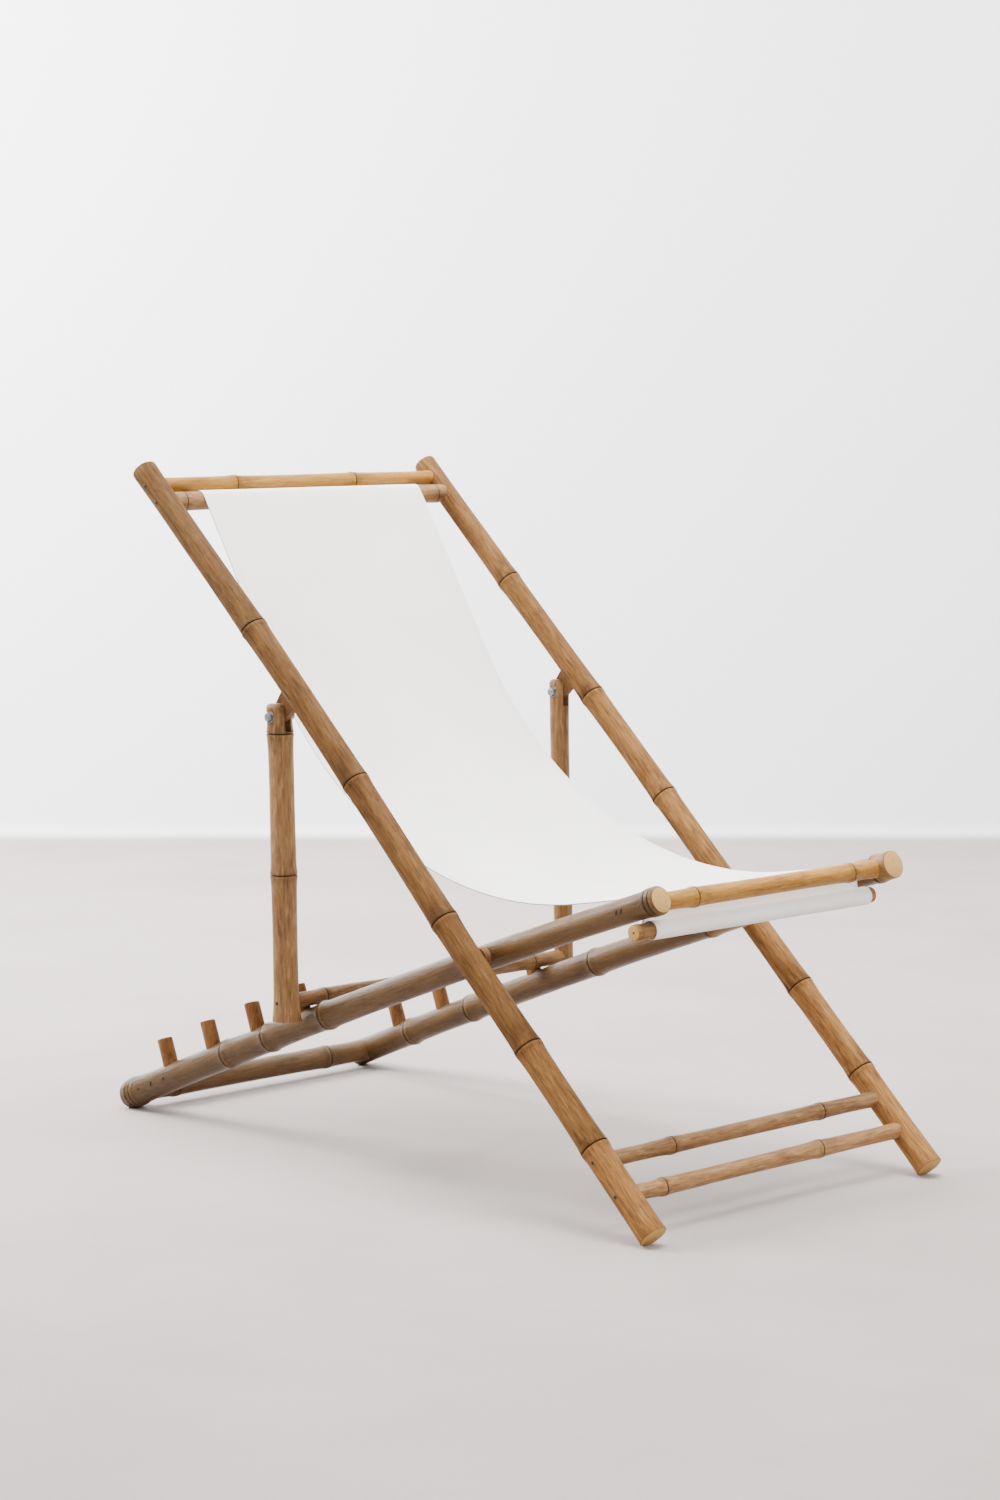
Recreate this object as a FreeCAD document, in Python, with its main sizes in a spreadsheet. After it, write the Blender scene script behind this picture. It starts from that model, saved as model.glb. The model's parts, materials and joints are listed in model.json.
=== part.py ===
import FreeCAD, Part
import math
import os
import Sketcher

# Bamboo folding recliner with a hung canvas sling, standing open in its most upright notch.
# Millimetres, +Z up. The sitter faces -Y, and the sitter's right hand is on the -X side.
# The origin is on the floor, under the middle of the box round the whole object.
#
# Two frames of bamboo poles cross like scissors on a pair of pivot bolts. The back frame has the
# long poles, which stand on the floor in front and hold the sling's top. The seat frame has the
# bowed seat poles, which stand on the floor behind and hold the sling's front. A prop frame hangs
# from tongues behind the long poles, and its crossbar lies on the seat poles against a row of pegs.

SIZES = [
    ("long_spread", 275.0, "middle plane to the axis of a long pole"),
    ("lean", 42.9, "long poles above level, degrees"),
    ("long_upper", 926.0, "pivot to the top of a long pole"),
    ("long_lower", 459.0, "pivot to the foot of a long pole"),
    ("long_foot_radius", 19.5, "long pole at its foot"),
    ("long_right_top_radius", 18.5, "right long pole at its top"),
    ("long_left_top_radius", 17.0, "left long pole at its top"),
    ("frame_pitch", 46.0, "axis of a long pole to the axis of the seat pole beside it"),
    ("seat_front", 322.0, "pivot to the front end of a seat pole"),
    ("seat_rear", 844.0, "pivot to the rear foot of a seat pole"),
    ("seat_bow", 9.0, "rise of a seat pole's bow over its chord"),
    ("seat_right_front_radius", 17.5, "right seat pole at its front end"),
    ("seat_right_rear_radius", 21.5, "right seat pole at its rear foot"),
    ("seat_left_front_radius", 19.5, "left seat pole at its front end"),
    ("seat_left_rear_radius", 20.5, "left seat pole at its rear foot"),
    ("foot_flat", 1.5, "least depth worn off the foot of each pole"),
    ("end_chamfer", 1.5, "chamfer round a sawn culm end"),
    ("ring_groove", 0.9, "depth of a culm's ring"),
    ("ring_half", 1.8, "half the width of a culm's ring"),
    ("ring_lap", 2.4, "how far two lengths of a bowed culm run past the ring between them"),
    ("moving_gap", 0.3, "free gap between pieces that move past each other"),
    ("fit_gap", 0.15, "gap round a glued or nailed tenon"),
    ("running_gap", 0.08, "radial clearance of a bolt in the piece that turns on it"),
    ("rail_end", 6.0, "end of a rail to the axis of the pole that holds it"),
    ("top_rail_drop", 32.0, "tops of the long poles to the top rail"),
    ("top_rail_radius", 11.5, "top rail"),
    ("sling_rail_drop", 66.0, "tops of the long poles to the upper sling rail"),
    ("sling_rail_radius", 13.75, "upper sling rail"),
    ("upper_rung_rise", 122.0, "feet of the long poles to the upper foot rung"),
    ("upper_rung_radius", 11.3, "upper foot rung"),
    ("lower_rung_rise", 67.0, "feet of the long poles to the lower foot rung"),
    ("lower_rung_radius", 11.75, "lower foot rung"),
    ("front_rail_inset", 22.0, "front ends of the seat poles to the front rail"),
    ("front_rail_radius", 13.0, "front rail"),
    ("front_sling_rail_inset", 62.0, "front ends of the seat poles to the front sling rail"),
    ("front_sling_rail_radius", 13.0, "front sling rail"),
    ("rear_rail_inset", 27.0, "rear feet of the seat poles to the rear rail"),
    ("rear_rail_radius", 17.5, "rear rail"),
    ("bolt_radius", 4.0, "pivot and hinge bolts"),
    ("spot_depth", 2.0, "flat cut into a round pole under a bolt's washer or spacer"),
    ("spacer_radius", 13.0, "spacer between a seat pole and a long pole"),
    ("pivot_head_radius", 10.0, "head of a pivot bolt"),
    ("pivot_head_height", 4.0, "head of a pivot bolt"),
    ("pivot_crown", 5.5, "flat crown of a pivot bolt's head"),
    ("pivot_bite", 20.0, "pivot bolt's length inside the long pole"),
    ("hinge_place", 480.6, "pivot up to the prop's hinge, along the long pole"),
    ("hinge_back", 44.0, "hinge bolt behind the long pole's axis"),
    ("tongue_thickness", 10.0, "hinge tongue"),
    ("tongue_root_width", 36.0, "hinge tongue where it enters the long pole"),
    ("tongue_end_radius", 13.0, "hinge tongue's round end"),
    ("tongue_tenon", 14.0, "hinge tongue's length inside the long pole"),
    ("hinge_spot_radius", 8.8, "flat cut into a strut under a hinge bolt's head and nut"),
    ("hinge_head_radius", 6.9, "corner radius of a hinge bolt's head and nut"),
    ("hinge_head_height", 5.0, "hinge bolt's head and nut"),
    ("hinge_thread_end", 2.5, "hinge bolt's end beyond its nut"),
    ("strut_right_radius", 18.5, "right prop strut"),
    ("strut_left_radius", 15.0, "left prop strut"),
    ("strut_head", 18.6, "hinge bolt to the top of a strut"),
    ("strut_head_round", 7.0, "rounding of a strut's top"),
    ("strut_tail", 27.0, "crossbar to the bottom of a strut"),
    ("slot_depth", 40.0, "top of a strut to the floor of its slot"),
    ("crossbar_radius", 11.5, "prop crossbar"),
    ("peg_radius", 11.5, "recline pegs"),
    ("peg_proud", 37.0, "recline peg above the pole's surface"),
    ("peg_depth", 15.0, "recline peg below the pole's surface"),
    ("peg_first", 408.0, "pivot back to the foremost peg"),
    ("peg_pitch", 108.0, "peg to peg"),
    ("sling_edge_gap", 10.0, "axis of a seat pole to the sling's edge, on average"),
    ("sling_offset", -3.0, "middle of the sling from the middle plane"),
    ("sling_thickness", 1.5, "canvas sling"),
    ("sling_back_angle", 57.5, "sling below the upper rail, above level, degrees"),
    ("sling_seat_angle", 9.5, "sling behind the front rail, rise to the front, degrees"),
    ("sling_sag_radius", 600.0, "sling's bend between back and seat"),
    ("sleeve_turn", 312.0, "how far a sleeve goes round its dowel, degrees"),
    ("sleeve_slack", 0.3, "free gap between a sleeve and the cloth on the rail beside it"),
    ("cloth_pole_gap", 0.8, "sling's edge to the round of a seat pole"),
    ("dowel_radius", 11.0, "sling dowels"),
    ("front_dowel_drop", 32.0, "front dowel below the seat poles' axes"),
    ("front_dowel_out", 21.0, "front dowel's right end beyond the seat pole's axis"),
    ("front_dowel_in", 13.0, "front dowel's left end short of the seat pole's axis"),
    ("upper_dowel_in", 49.0, "upper dowel's ends short of the long poles' axes"),
]
# Sizes that follow from the ones above.
DERIVED = [
    ("seat_spread", "long_spread - frame_pitch", "middle plane to the axis of a seat pole"),
    ("long_length", "long_lower + long_upper", "long pole"),
    ("seat_length", "seat_front + seat_rear", "seat pole along its chord"),
    ("top_rail_place", "long_upper - top_rail_drop", "pivot to the top rail"),
    ("sling_rail_place", "long_upper - sling_rail_drop", "pivot to the upper sling rail"),
    ("upper_rung_place", "long_lower - upper_rung_rise", "pivot down to the upper foot rung"),
    ("lower_rung_place", "long_lower - lower_rung_rise", "pivot down to the lower foot rung"),
    ("front_rail_place", "seat_front - front_rail_inset", "pivot to the front rail"),
    ("front_sling_rail_place", "seat_front - front_sling_rail_inset", "pivot to the front sling rail"),
    ("rear_rail_place", "seat_rear - rear_rail_inset", "pivot back to the rear rail"),
    ("sling_width", "2 * (seat_spread - sling_edge_gap)", "canvas sling"),
    ("front_dowel_right", "seat_spread + front_dowel_out", "middle plane to the front dowel's right end"),
    ("front_dowel_left", "seat_spread - front_dowel_in", "middle plane to the front dowel's left end"),
    ("upper_dowel_half", "long_spread - upper_dowel_in", "middle plane to each end of the upper dowel"),
]
PEG_COUNT = 4
HEAD_SIDES = 6
SOCKET_SIDES = 12
FLOOR_HALF = 1000
FLOOR_DEPTH = 100
MOST_IN_ONE_ARC = math.radians(150)

# Where the rings of each pole and strut are, as shares of its length from its first end: the foot
# of a long pole, the front end of a seat pole and the bottom of a strut.
RINGS = {
    "long_pole_right": (0.102, 0.221, 0.378, 0.555, 0.765),
    "long_pole_left": (0.122, 0.233, 0.364, 0.495, 0.640, 0.814),
    "seat_pole_right": (0.316, 0.581, 0.695, 0.780),
    "seat_pole_left": (0.302, 0.509, 0.754, 0.880),
    "prop_strut_right": (0.462, 0.905),
    "prop_strut_left": (0.380, 0.790),
}
# Radius at the first end and at the last.
CULM_ENDS = {
    "long_pole_right": ("long_foot_radius", "long_right_top_radius"),
    "long_pole_left": ("long_foot_radius", "long_left_top_radius"),
    "seat_pole_right": ("seat_right_front_radius", "seat_right_rear_radius"),
    "seat_pole_left": ("seat_left_front_radius", "seat_left_rear_radius"),
    "prop_strut_right": ("strut_right_radius", "strut_right_radius"),
    "prop_strut_left": ("strut_left_radius", "strut_left_radius"),
}
SIDES = {"right": -1, "left": 1}
ACROSS = FreeCAD.Vector(1, 0, 0)
BOLT_BORE = "Sizes.bolt_radius + Sizes.running_gap"

doc = FreeCAD.newDocument("bamboo_recliner")
sheet = doc.addObject("Spreadsheet::Sheet", "Sizes")
size = {}
for row, (alias, value, meaning) in enumerate(SIZES, start=1):
    sheet.set(f"A{row}", meaning)
    sheet.set(f"B{row}", str(value))
    sheet.setAlias(f"B{row}", alias)
doc.recompute()
for row, (alias, formula, meaning) in enumerate(DERIVED, start=len(SIZES) + 1):
    sheet.set(f"A{row}", meaning)
    sheet.set(f"B{row}", "=" + formula)
    sheet.setAlias(f"B{row}", alias)
    doc.recompute()
for alias, _, _ in SIZES + DERIVED:
    size[alias] = float(sheet.get(alias))

nodes = {}


# Document helpers

def cell(alias):
    return f"Sizes.{alias}"


def bind(obj, **expressions):
    """Ties an object's sizes to cells of the sheet."""
    for name, expression in expressions.items():
        obj.setExpression(name, expression)
    return obj


def number_of(expression):
    """The value that an expression on the sheet has now."""
    result = sheet.evalExpression(expression)
    return float(getattr(result, "Value", result))


def tilt(angle):
    """Rotation in the side plane that turns local Z to the given angle above +Y, in degrees."""
    return FreeCAD.Rotation(ACROSS, angle - 90)


def in_side_plane(x, point, angle=90.0):
    return FreeCAD.Placement(FreeCAD.Vector(x, *point), tilt(angle))


def across_from(x, point, way=1):
    """Placement that turns local Z to +X, or to -X where way is -1."""
    return FreeCAD.Placement(
        FreeCAD.Vector(x, *point), FreeCAD.Rotation(FreeCAD.Vector(0, 1, 0), 90 * way)
    )


def rod_across(name, radius, low, high, point):
    """Cylinder along X between two expressions, about a point of the side plane."""
    rod = doc.addObject("Part::Cylinder", name)
    rod.Placement = across_from(number_of(low), point)
    return bind(rod, Radius=radius, Height=f"({high}) - ({low})")


def rod_from(name, radius, near, far, side, point):
    """Cylinder along X between two distances from the middle plane, on one side."""
    if side > 0:
        return rod_across(name, radius, near, far, point)
    return rod_across(name, radius, f"-({far})", f"-({near})", point)


def block(name, x, point, angle, **edges):
    """Box centred on X, with its local Y and Z corner at zero until it is moved."""
    box = doc.addObject("Part::Box", name)
    bind(box, **edges)
    doc.recompute()
    corner = FreeCAD.Placement(FreeCAD.Vector(-box.Length.Value / 2, 0, 0), FreeCAD.Rotation())
    box.Placement = in_side_plane(x, point, angle) * corner
    return box


def socket_cutter(name, radius, length):
    """The cutter for the hidden socket of a round piece, with few sides, along its own Z."""
    cutter = doc.addObject("Part::Prism", name)
    cutter.Polygon = SOCKET_SIDES
    return bind(
        cutter, Circumradius=f"({radius} + Sizes.fit_gap) / cos(180 / {SOCKET_SIDES})", Height=length
    )


BACK_RAILS = {
    "top_rail": (size["top_rail_place"], "top_rail_radius"),
    "upper_sling_rail": (size["sling_rail_place"], "sling_rail_radius"),
    "upper_foot_rung": (-size["upper_rung_place"], "upper_rung_radius"),
    "lower_foot_rung": (-size["lower_rung_place"], "lower_rung_radius"),
}
SEAT_RAILS = {
    "front_rail": (-size["front_rail_place"], "front_rail_radius"),
    "front_sling_rail": (-size["front_sling_rail_place"], "front_sling_rail_radius"),
    "rear_rail": (size["rear_rail_place"], "rear_rail_radius"),
}


def group(name, members):
    compound = doc.addObject("Part::Compound", name)
    compound.Links = members
    return compound


def cut(name, base, tools):
    """One piece less its sockets, bores and flats."""
    result = doc.addObject("Part::Cut", name)
    result.Base = base
    result.Tool = group(name + "_cutters", tools) if len(tools) > 1 else tools[0]
    return result


def join(name, members):
    """Solids that belong to one node, joined where they touch."""
    result = doc.addObject("Part::MultiFuse", name)
    result.Shapes = members
    return result


def keep(name, obj):
    obj.Label = name
    nodes[name] = obj
    return obj


# Radii of the culms: each internode is even in thickness, with a ring between one and the next

def internodes(name):
    """The start and end of each internode as shares of the culm's length, with its radius."""
    first, last = (cell(alias) for alias in CULM_ENDS[name])
    places = (0.0,) + RINGS[name] + (1.0,)
    result = []
    for start, end in zip(places, places[1:]):
        middle = (start + end) / 2
        result.append((start, end, f"({first} + ({last} - {first}) * {middle})"))
    return result


def radius_at(name, share):
    """Expression for a culm's radius at a share of its length."""
    return next(radius for start, end, radius in internodes(name) if share <= end)


def seat_radius(name, along):
    return radius_at(f"seat_pole_{name}", (along + size["seat_front"]) / size["seat_length"])


def long_radius(name, along):
    return radius_at(f"long_pole_{name}", (along + size["long_lower"]) / size["long_length"])


# Places in the side plane, as (y, z)

def unit(angle):
    return (math.cos(angle), math.sin(angle))


def offset(point, direction, distance):
    return (point[0] + direction[0] * distance, point[1] + direction[1] * distance)


lean = math.radians(size["lean"])
seat_length = size["seat_length"]


def bow_rise(along):
    """Height of a seat pole's axis over the chord's parallel through the pivot."""
    def over_chord(spot):
        share = (spot + size["seat_front"]) * (size["seat_rear"] - spot) / seat_length**2
        return 4 * size["seat_bow"] * share
    return over_chord(along) - over_chord(0)


# Each foot stands on the lower rim of its square end, worn to a small flat.
long_foot_radii = [number_of(long_radius(name, -size["long_lower"])) for name in SIDES]
seat_foot_radii = [number_of(seat_radius(name, size["seat_rear"])) for name in SIDES]
pivot_height = (
    size["long_lower"] * math.sin(lean) + min(long_foot_radii) * math.cos(lean) - size["foot_flat"]
)
rear_drop = min(seat_foot_radii) - bow_rise(size["seat_rear"])
seat_slope = math.asin(
    (pivot_height + size["foot_flat"]) / math.hypot(size["seat_rear"], rear_drop)
) - math.atan2(rear_drop, size["seat_rear"])
seat_end_slope = seat_slope + math.atan(4 * size["seat_bow"] / seat_length)
front_reach = size["long_lower"] * math.cos(lean) + max(long_foot_radii) * math.sin(lean)
rear_reach = (
    size["seat_rear"] * math.cos(seat_slope)
    + bow_rise(size["seat_rear"]) * math.sin(seat_slope)
    + max(seat_foot_radii) * math.sin(seat_end_slope)
)
pivot = ((front_reach - rear_reach) / 2, pivot_height)


def on_long(along, behind=0.0):
    """Point at a distance up the long poles from the pivot, and behind their axes."""
    return (
        pivot[0] + along * math.cos(lean) + behind * math.sin(lean),
        pivot[1] + along * math.sin(lean) - behind * math.cos(lean),
    )


def on_seat(along, above=0.0):
    """Point at a distance back along the seat poles from the pivot, and above their axes."""
    rise = bow_rise(along) + above
    return (
        pivot[0] + along * math.cos(seat_slope) + rise * math.sin(seat_slope),
        pivot[1] - along * math.sin(seat_slope) + rise * math.cos(seat_slope),
    )


# Bamboo culms

def turned(name, outline, length):
    """A solid turned about its own Z from (radius, height) expressions, first end to last."""
    body = doc.addObject("PartDesign::Body", name)
    plane = next(f for f in body.Origin.OriginFeatures if f.Role == "XZ_Plane")
    sketch = body.newObject("Sketcher::SketchObject", name + "_outline")
    sketch.AttachmentSupport = [(plane, "")]
    sketch.MapMode = "FlatFace"
    corners = [(0.0, 0.0)]
    for radius, height in outline:
        corners.append((number_of(radius), number_of(height) if height else 0.0))
    corners.append((0.0, number_of(length)))
    places = [FreeCAD.Vector(x, y, 0) for x, y in corners]
    lines = [Part.LineSegment(a, b) for a, b in zip(places, places[1:] + places[:1])]
    sketch.addGeometry(lines)
    last = len(lines) - 1
    for line in range(len(lines)):
        sketch.addConstraint(Sketcher.Constraint("Coincident", line, 2, (line + 1) % len(lines), 1))
    sketch.addConstraint(Sketcher.Constraint("Coincident", 0, 1, -1, 1))
    sketch.addConstraint(Sketcher.Constraint("Horizontal", 0))
    sketch.addConstraint(Sketcher.Constraint("Vertical", last))
    sketch.addConstraint(Sketcher.Constraint("Horizontal", last - 1))
    for line, (radius, height) in enumerate(outline):
        across = sketch.addConstraint(Sketcher.Constraint("DistanceX", -1, 1, line, 2, corners[line + 1][0]))
        sketch.setExpression(f"Constraints[{across}]", radius)
        if height:
            up = sketch.addConstraint(Sketcher.Constraint("DistanceY", -1, 1, line, 2, corners[line + 1][1]))
            sketch.setExpression(f"Constraints[{up}]", height)
    revolution = body.newObject("PartDesign::Revolution", name + "_turned")
    revolution.Profile = sketch
    revolution.ReferenceAxis = (sketch, ["V_Axis"])
    revolution.Angle = 360
    return body


def culm(name, length, last_round=None):
    """A straight culm along its own Z."""
    parts = internodes(name)
    outline = [(parts[0][2], None)]
    for (_, end, radius), (_, _, next_radius) in zip(parts, parts[1:]):
        outline += [
            (radius, f"{length} * {end} - Sizes.ring_half"),
            (f"{radius} - Sizes.ring_groove", f"{length} * {end}"),
            (next_radius, f"{length} * {end} + Sizes.ring_half"),
        ]
    last_radius = parts[-1][2]
    if last_round:
        # A quarter round, as two flats that meet it in the middle.
        middle = f"{last_round} * (1 - sqrt(0.5))"
        outline += [
            (last_radius, f"{length} - {last_round}"),
            (f"{last_radius} - {middle}", f"{length} - {middle}"),
            (f"{last_radius} - {last_round}", length),
        ]
    else:
        outline += [
            (last_radius, f"{length} - Sizes.end_chamfer"),
            (f"{last_radius} - Sizes.end_chamfer", length),
        ]
    return turned(name + "_culm", outline, length)


def bowed_culm(name, side):
    """A seat pole: straight internodes laid end to end along its bow, whose ends make the rings."""
    wall = "(Sizes.ring_half + Sizes.ring_lap)"
    depth = f"(Sizes.ring_groove * {wall} / Sizes.ring_half)"
    lengths = []
    for order, (start, end, radius) in enumerate(internodes(name)):
        low = on_seat(start * seat_length - size["seat_front"])
        high = on_seat(end * seat_length - size["seat_front"])
        angle = math.atan2(high[1] - low[1], high[0] - low[0])
        chord = math.hypot(high[0] - low[0], high[1] - low[1])
        first_lap = 0.0 if start == 0 else size["ring_lap"]
        last_lap = 0.0 if end == 1 else size["ring_lap"]
        length = f"{chord + first_lap + last_lap}"
        if start == 0:
            outline = [(f"{radius} - Sizes.end_chamfer", None), (radius, "Sizes.end_chamfer")]
        else:
            outline = [(f"{radius} - {depth}", None), (radius, wall)]
        if end == 1:
            outline.append((radius, length))
        else:
            outline += [(radius, f"{length} - {wall}"), (f"{radius} - {depth}", length)]
        piece = turned(f"{name}_internode_{order}", outline, length)
        piece.Placement = in_side_plane(
            side * size["seat_spread"], offset(low, unit(angle), -first_lap), math.degrees(angle)
        )
        lengths.append(piece)
    return join(name + "_culm", lengths)


# Rails between a pair of poles

def rail(name, spread, radius, point):
    """A rail between two poles, and the cutter for its sockets."""
    half = f"({spread} - Sizes.rail_end)"
    keep(name, rod_across(name + "_rod", radius, f"-{half}", half, point))
    socket = socket_cutter(name + "_socket", radius, f"2 * ({half} + Sizes.fit_gap)")
    socket.Placement = across_from(-number_of(f"{half} + Sizes.fit_gap"), point)
    return socket


# Floor that the four feet are worn down to

floor = doc.addObject("Part::Box", "floor_cutter")
floor.Placement.Base = FreeCAD.Vector(-FLOOR_HALF, -FLOOR_HALF, -FLOOR_DEPTH)
floor.Length = 2 * FLOOR_HALF
floor.Width = 2 * FLOOR_HALF
floor.Height = FLOOR_DEPTH


# Pivot bolts and spacers, held in the long poles

def pivot_planes(name):
    """Distances from the middle plane of the flats that a pivot bolt passes."""
    seat_here = seat_radius(name, 0)
    inner = f"(Sizes.seat_spread - {seat_here} + Sizes.spot_depth)"
    outer = f"(Sizes.seat_spread + {seat_here} - Sizes.spot_depth)"
    long_flat = f"(Sizes.long_spread - {long_radius(name, 0)} + Sizes.spot_depth)"
    return inner, outer, long_flat


def pivot_hardware(name, side):
    inner, outer, long_flat = pivot_planes(name)
    under_head = f"({inner} - Sizes.moving_gap)"
    tip = f"({long_flat} + Sizes.pivot_bite)"
    shank = rod_from(f"pivot_shank_{name}", "Sizes.bolt_radius", under_head, tip, side, pivot)
    head = doc.addObject("Part::Cone", f"pivot_head_{name}")
    bind(
        head,
        Radius1="Sizes.pivot_head_radius",
        Radius2="Sizes.pivot_crown",
        Height="Sizes.pivot_head_height",
    )
    head.Placement = across_from(side * number_of(under_head), pivot, -side)
    near = f"({outer} + Sizes.moving_gap)"
    disc = rod_from(f"spacer_disc_{name}", "Sizes.spacer_radius", near, long_flat, side, pivot)
    past = f"{long_flat} + Sizes.fit_gap"
    bore = rod_from(f"spacer_bore_{name}", BOLT_BORE, outer, past, side, pivot)
    return [shank, head], cut(f"spacer_{name}", disc, [bore])


def pivot_cutters(name, side):
    """What the pivot takes out of a seat pole and out of a long pole."""
    inner, outer, long_flat = pivot_planes(name)
    past = "Sizes.spacer_radius"
    seat_cutters = [
        rod_from(f"pivot_bore_{name}", BOLT_BORE, f"{inner} - {past}", f"{outer} + {past}", side, pivot),
        rod_from(f"pivot_inner_spot_{name}", past, f"{inner} - {past}", inner, side, pivot),
        rod_from(f"pivot_outer_spot_{name}", past, outer, f"{outer} + {past}", side, pivot),
    ]
    hole = socket_cutter(f"pivot_hole_{name}", "Sizes.bolt_radius", "Sizes.pivot_bite + Sizes.spacer_radius")
    near = number_of(long_flat) - size["spacer_radius"] + size["fit_gap"]
    hole.Placement = across_from(side * near, pivot, side)
    long_cutters = [
        hole,
        rod_from(f"pivot_long_spot_{name}", past, f"{long_flat} - {past}", long_flat, side, pivot),
    ]
    return seat_cutters, long_cutters


# Seat frame

def peg_places():
    return [size["peg_first"] + order * size["peg_pitch"] for order in range(PEG_COUNT)]


def pegs(name, side):
    """Recline pegs standing square on a seat pole, and the cutters for their holes."""
    solids = []
    holes = []
    up = 90 - math.degrees(seat_slope)
    for order, along in enumerate(peg_places()):
        surface = number_of(seat_radius(name, along))
        root = on_seat(along, surface - size["peg_depth"])
        foot = in_side_plane(side * size["seat_spread"], root, up)
        shank = doc.addObject("Part::Cylinder", f"peg_{name}_{order}")
        bind(shank, Radius="Sizes.peg_radius", Height="Sizes.peg_depth + Sizes.peg_proud")
        shank.Placement = foot
        depth = "Sizes.peg_depth + Sizes.peg_proud + Sizes.fit_gap"
        hole = socket_cutter(f"peg_hole_{name}_{order}", "Sizes.peg_radius", depth)
        hole.Placement = foot * FreeCAD.Placement(FreeCAD.Vector(0, 0, -size["fit_gap"]), FreeCAD.Rotation())
        solids.append(shank)
        holes.append(hole)
    return solids, holes


def seat_frame():
    sockets = []
    for name, (along, radius) in SEAT_RAILS.items():
        sockets.append(rail(name, "Sizes.seat_spread", cell(radius), on_seat(along)))
    for name, side in SIDES.items():
        peg_solids, peg_holes = pegs(name, side)
        seat_cutters, _ = cutters[name]
        pole = bowed_culm(f"seat_pole_{name}", side)
        tools = sockets + seat_cutters + peg_holes + [floor]
        keep(f"seat_pole_{name}", cut(f"seat_pole_{name}_cut", pole, tools))
        keep(f"recline_pegs_{name}", group(f"recline_pegs_{name}_row", peg_solids))


# Back frame

def tongue(name, side):
    """The flat tongue that a strut hangs from, in its own frame: Y behind the pole, Z up the pole."""
    body = doc.addObject("PartDesign::Body", f"hinge_tongue_{name}_body")
    plane = next(f for f in body.Origin.OriginFeatures if f.Role == "YZ_Plane")
    sketch = body.newObject("Sketcher::SketchObject", f"hinge_tongue_{name}_outline")
    sketch.AttachmentSupport = [(plane, "")]
    sketch.MapMode = "FlatFace"
    root = f"{long_radius(name, size['hinge_place'])} - Sizes.tongue_tenon"
    near = number_of(root)
    far = size["hinge_back"]
    half = size["tongue_root_width"] / 2
    round_end = size["tongue_end_radius"]
    low_root = FreeCAD.Vector(near, -half, 0)
    low_end = FreeCAD.Vector(far, -round_end, 0)
    high_end = FreeCAD.Vector(far, round_end, 0)
    high_root = FreeCAD.Vector(near, half, 0)
    tip = FreeCAD.Vector(far + round_end, 0, 0)
    sketch.addGeometry(
        [
            Part.LineSegment(low_root, low_end),
            Part.Arc(low_end, tip, high_end),
            Part.LineSegment(high_end, high_root),
            Part.LineSegment(high_root, low_root),
            Part.Circle(FreeCAD.Vector(far, 0, 0), FreeCAD.Vector(0, 0, 1), size["bolt_radius"]),
        ]
    )
    for first, first_end, second, second_end in ((0, 2, 1, 1), (1, 2, 2, 1), (2, 2, 3, 1), (3, 2, 0, 1)):
        sketch.addConstraint(Sketcher.Constraint("Coincident", first, first_end, second, second_end))
    sketch.addConstraint(Sketcher.Constraint("Symmetric", 3, 1, 3, 2, -1))
    sketch.addConstraint(Sketcher.Constraint("PointOnObject", 1, 3, -1))
    sketch.addConstraint(Sketcher.Constraint("Vertical", 1, 1, 1, 2))
    sketch.addConstraint(Sketcher.Constraint("Vertical", 1, 1, 1, 3))
    sketch.addConstraint(Sketcher.Constraint("Coincident", 4, 3, 1, 3))
    dimensions = (
        (Sketcher.Constraint("DistanceX", -1, 1, 3, 1, near), root),
        (Sketcher.Constraint("DistanceX", -1, 1, 1, 3, far), "Sizes.hinge_back"),
        (Sketcher.Constraint("DistanceY", 3, 2, 3, 1, 2 * half), "Sizes.tongue_root_width"),
        (Sketcher.Constraint("Radius", 1, round_end), "Sizes.tongue_end_radius"),
        (Sketcher.Constraint("Radius", 4, size["bolt_radius"]), BOLT_BORE),
    )
    for constraint, expression in dimensions:
        index = sketch.addConstraint(constraint)
        sketch.setExpression(f"Constraints[{index}]", expression)
    pad = body.newObject("PartDesign::Pad", f"hinge_tongue_{name}_pad")
    pad.Profile = sketch
    pad.SideType = "Symmetric"
    bind(pad, Length="Sizes.tongue_thickness")
    body.Placement = in_side_plane(side * size["long_spread"], on_long(size["hinge_place"]), size["lean"])
    return body


def mortise(name, side):
    """The cutter for a tongue's seat in a long pole."""
    root = number_of(long_radius(name, size["hinge_place"])) - size["tongue_tenon"] - size["fit_gap"]
    half = size["tongue_root_width"] / 2 + size["fit_gap"]
    return block(
        f"mortise_{name}",
        side * size["long_spread"],
        on_long(size["hinge_place"] - half, root),
        size["lean"],
        Length="Sizes.tongue_thickness + 2 * Sizes.fit_gap",
        Width="Sizes.tongue_tenon + 2 * Sizes.long_foot_radius",
        Height="Sizes.tongue_root_width + 2 * Sizes.fit_gap",
    )


def back_frame():
    sockets = []
    for name, (along, radius) in BACK_RAILS.items():
        sockets.append(rail(name, "Sizes.long_spread", cell(radius), on_long(along)))
    bolts = []
    spacers = []
    for name, side in SIDES.items():
        _, long_cutters = cutters[name]
        pole = culm(f"long_pole_{name}", "Sizes.long_length")
        pole.Placement = in_side_plane(side * size["long_spread"], on_long(-size["long_lower"]), size["lean"])
        tools = sockets + long_cutters + [mortise(name, side), floor]
        keep(f"long_pole_{name}", cut(f"long_pole_{name}_cut", pole, tools))
        keep(f"hinge_tongue_{name}", tongue(name, side))
        bolt_solids, spacer = pivot_hardware(name, side)
        bolts += bolt_solids
        spacers.append(spacer)
    keep("pivot_bolts", join("pivot_bolts_joined", bolts))
    keep("pivot_spacers", group("pivot_spacers_pair", spacers))


# Prop frame

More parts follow.
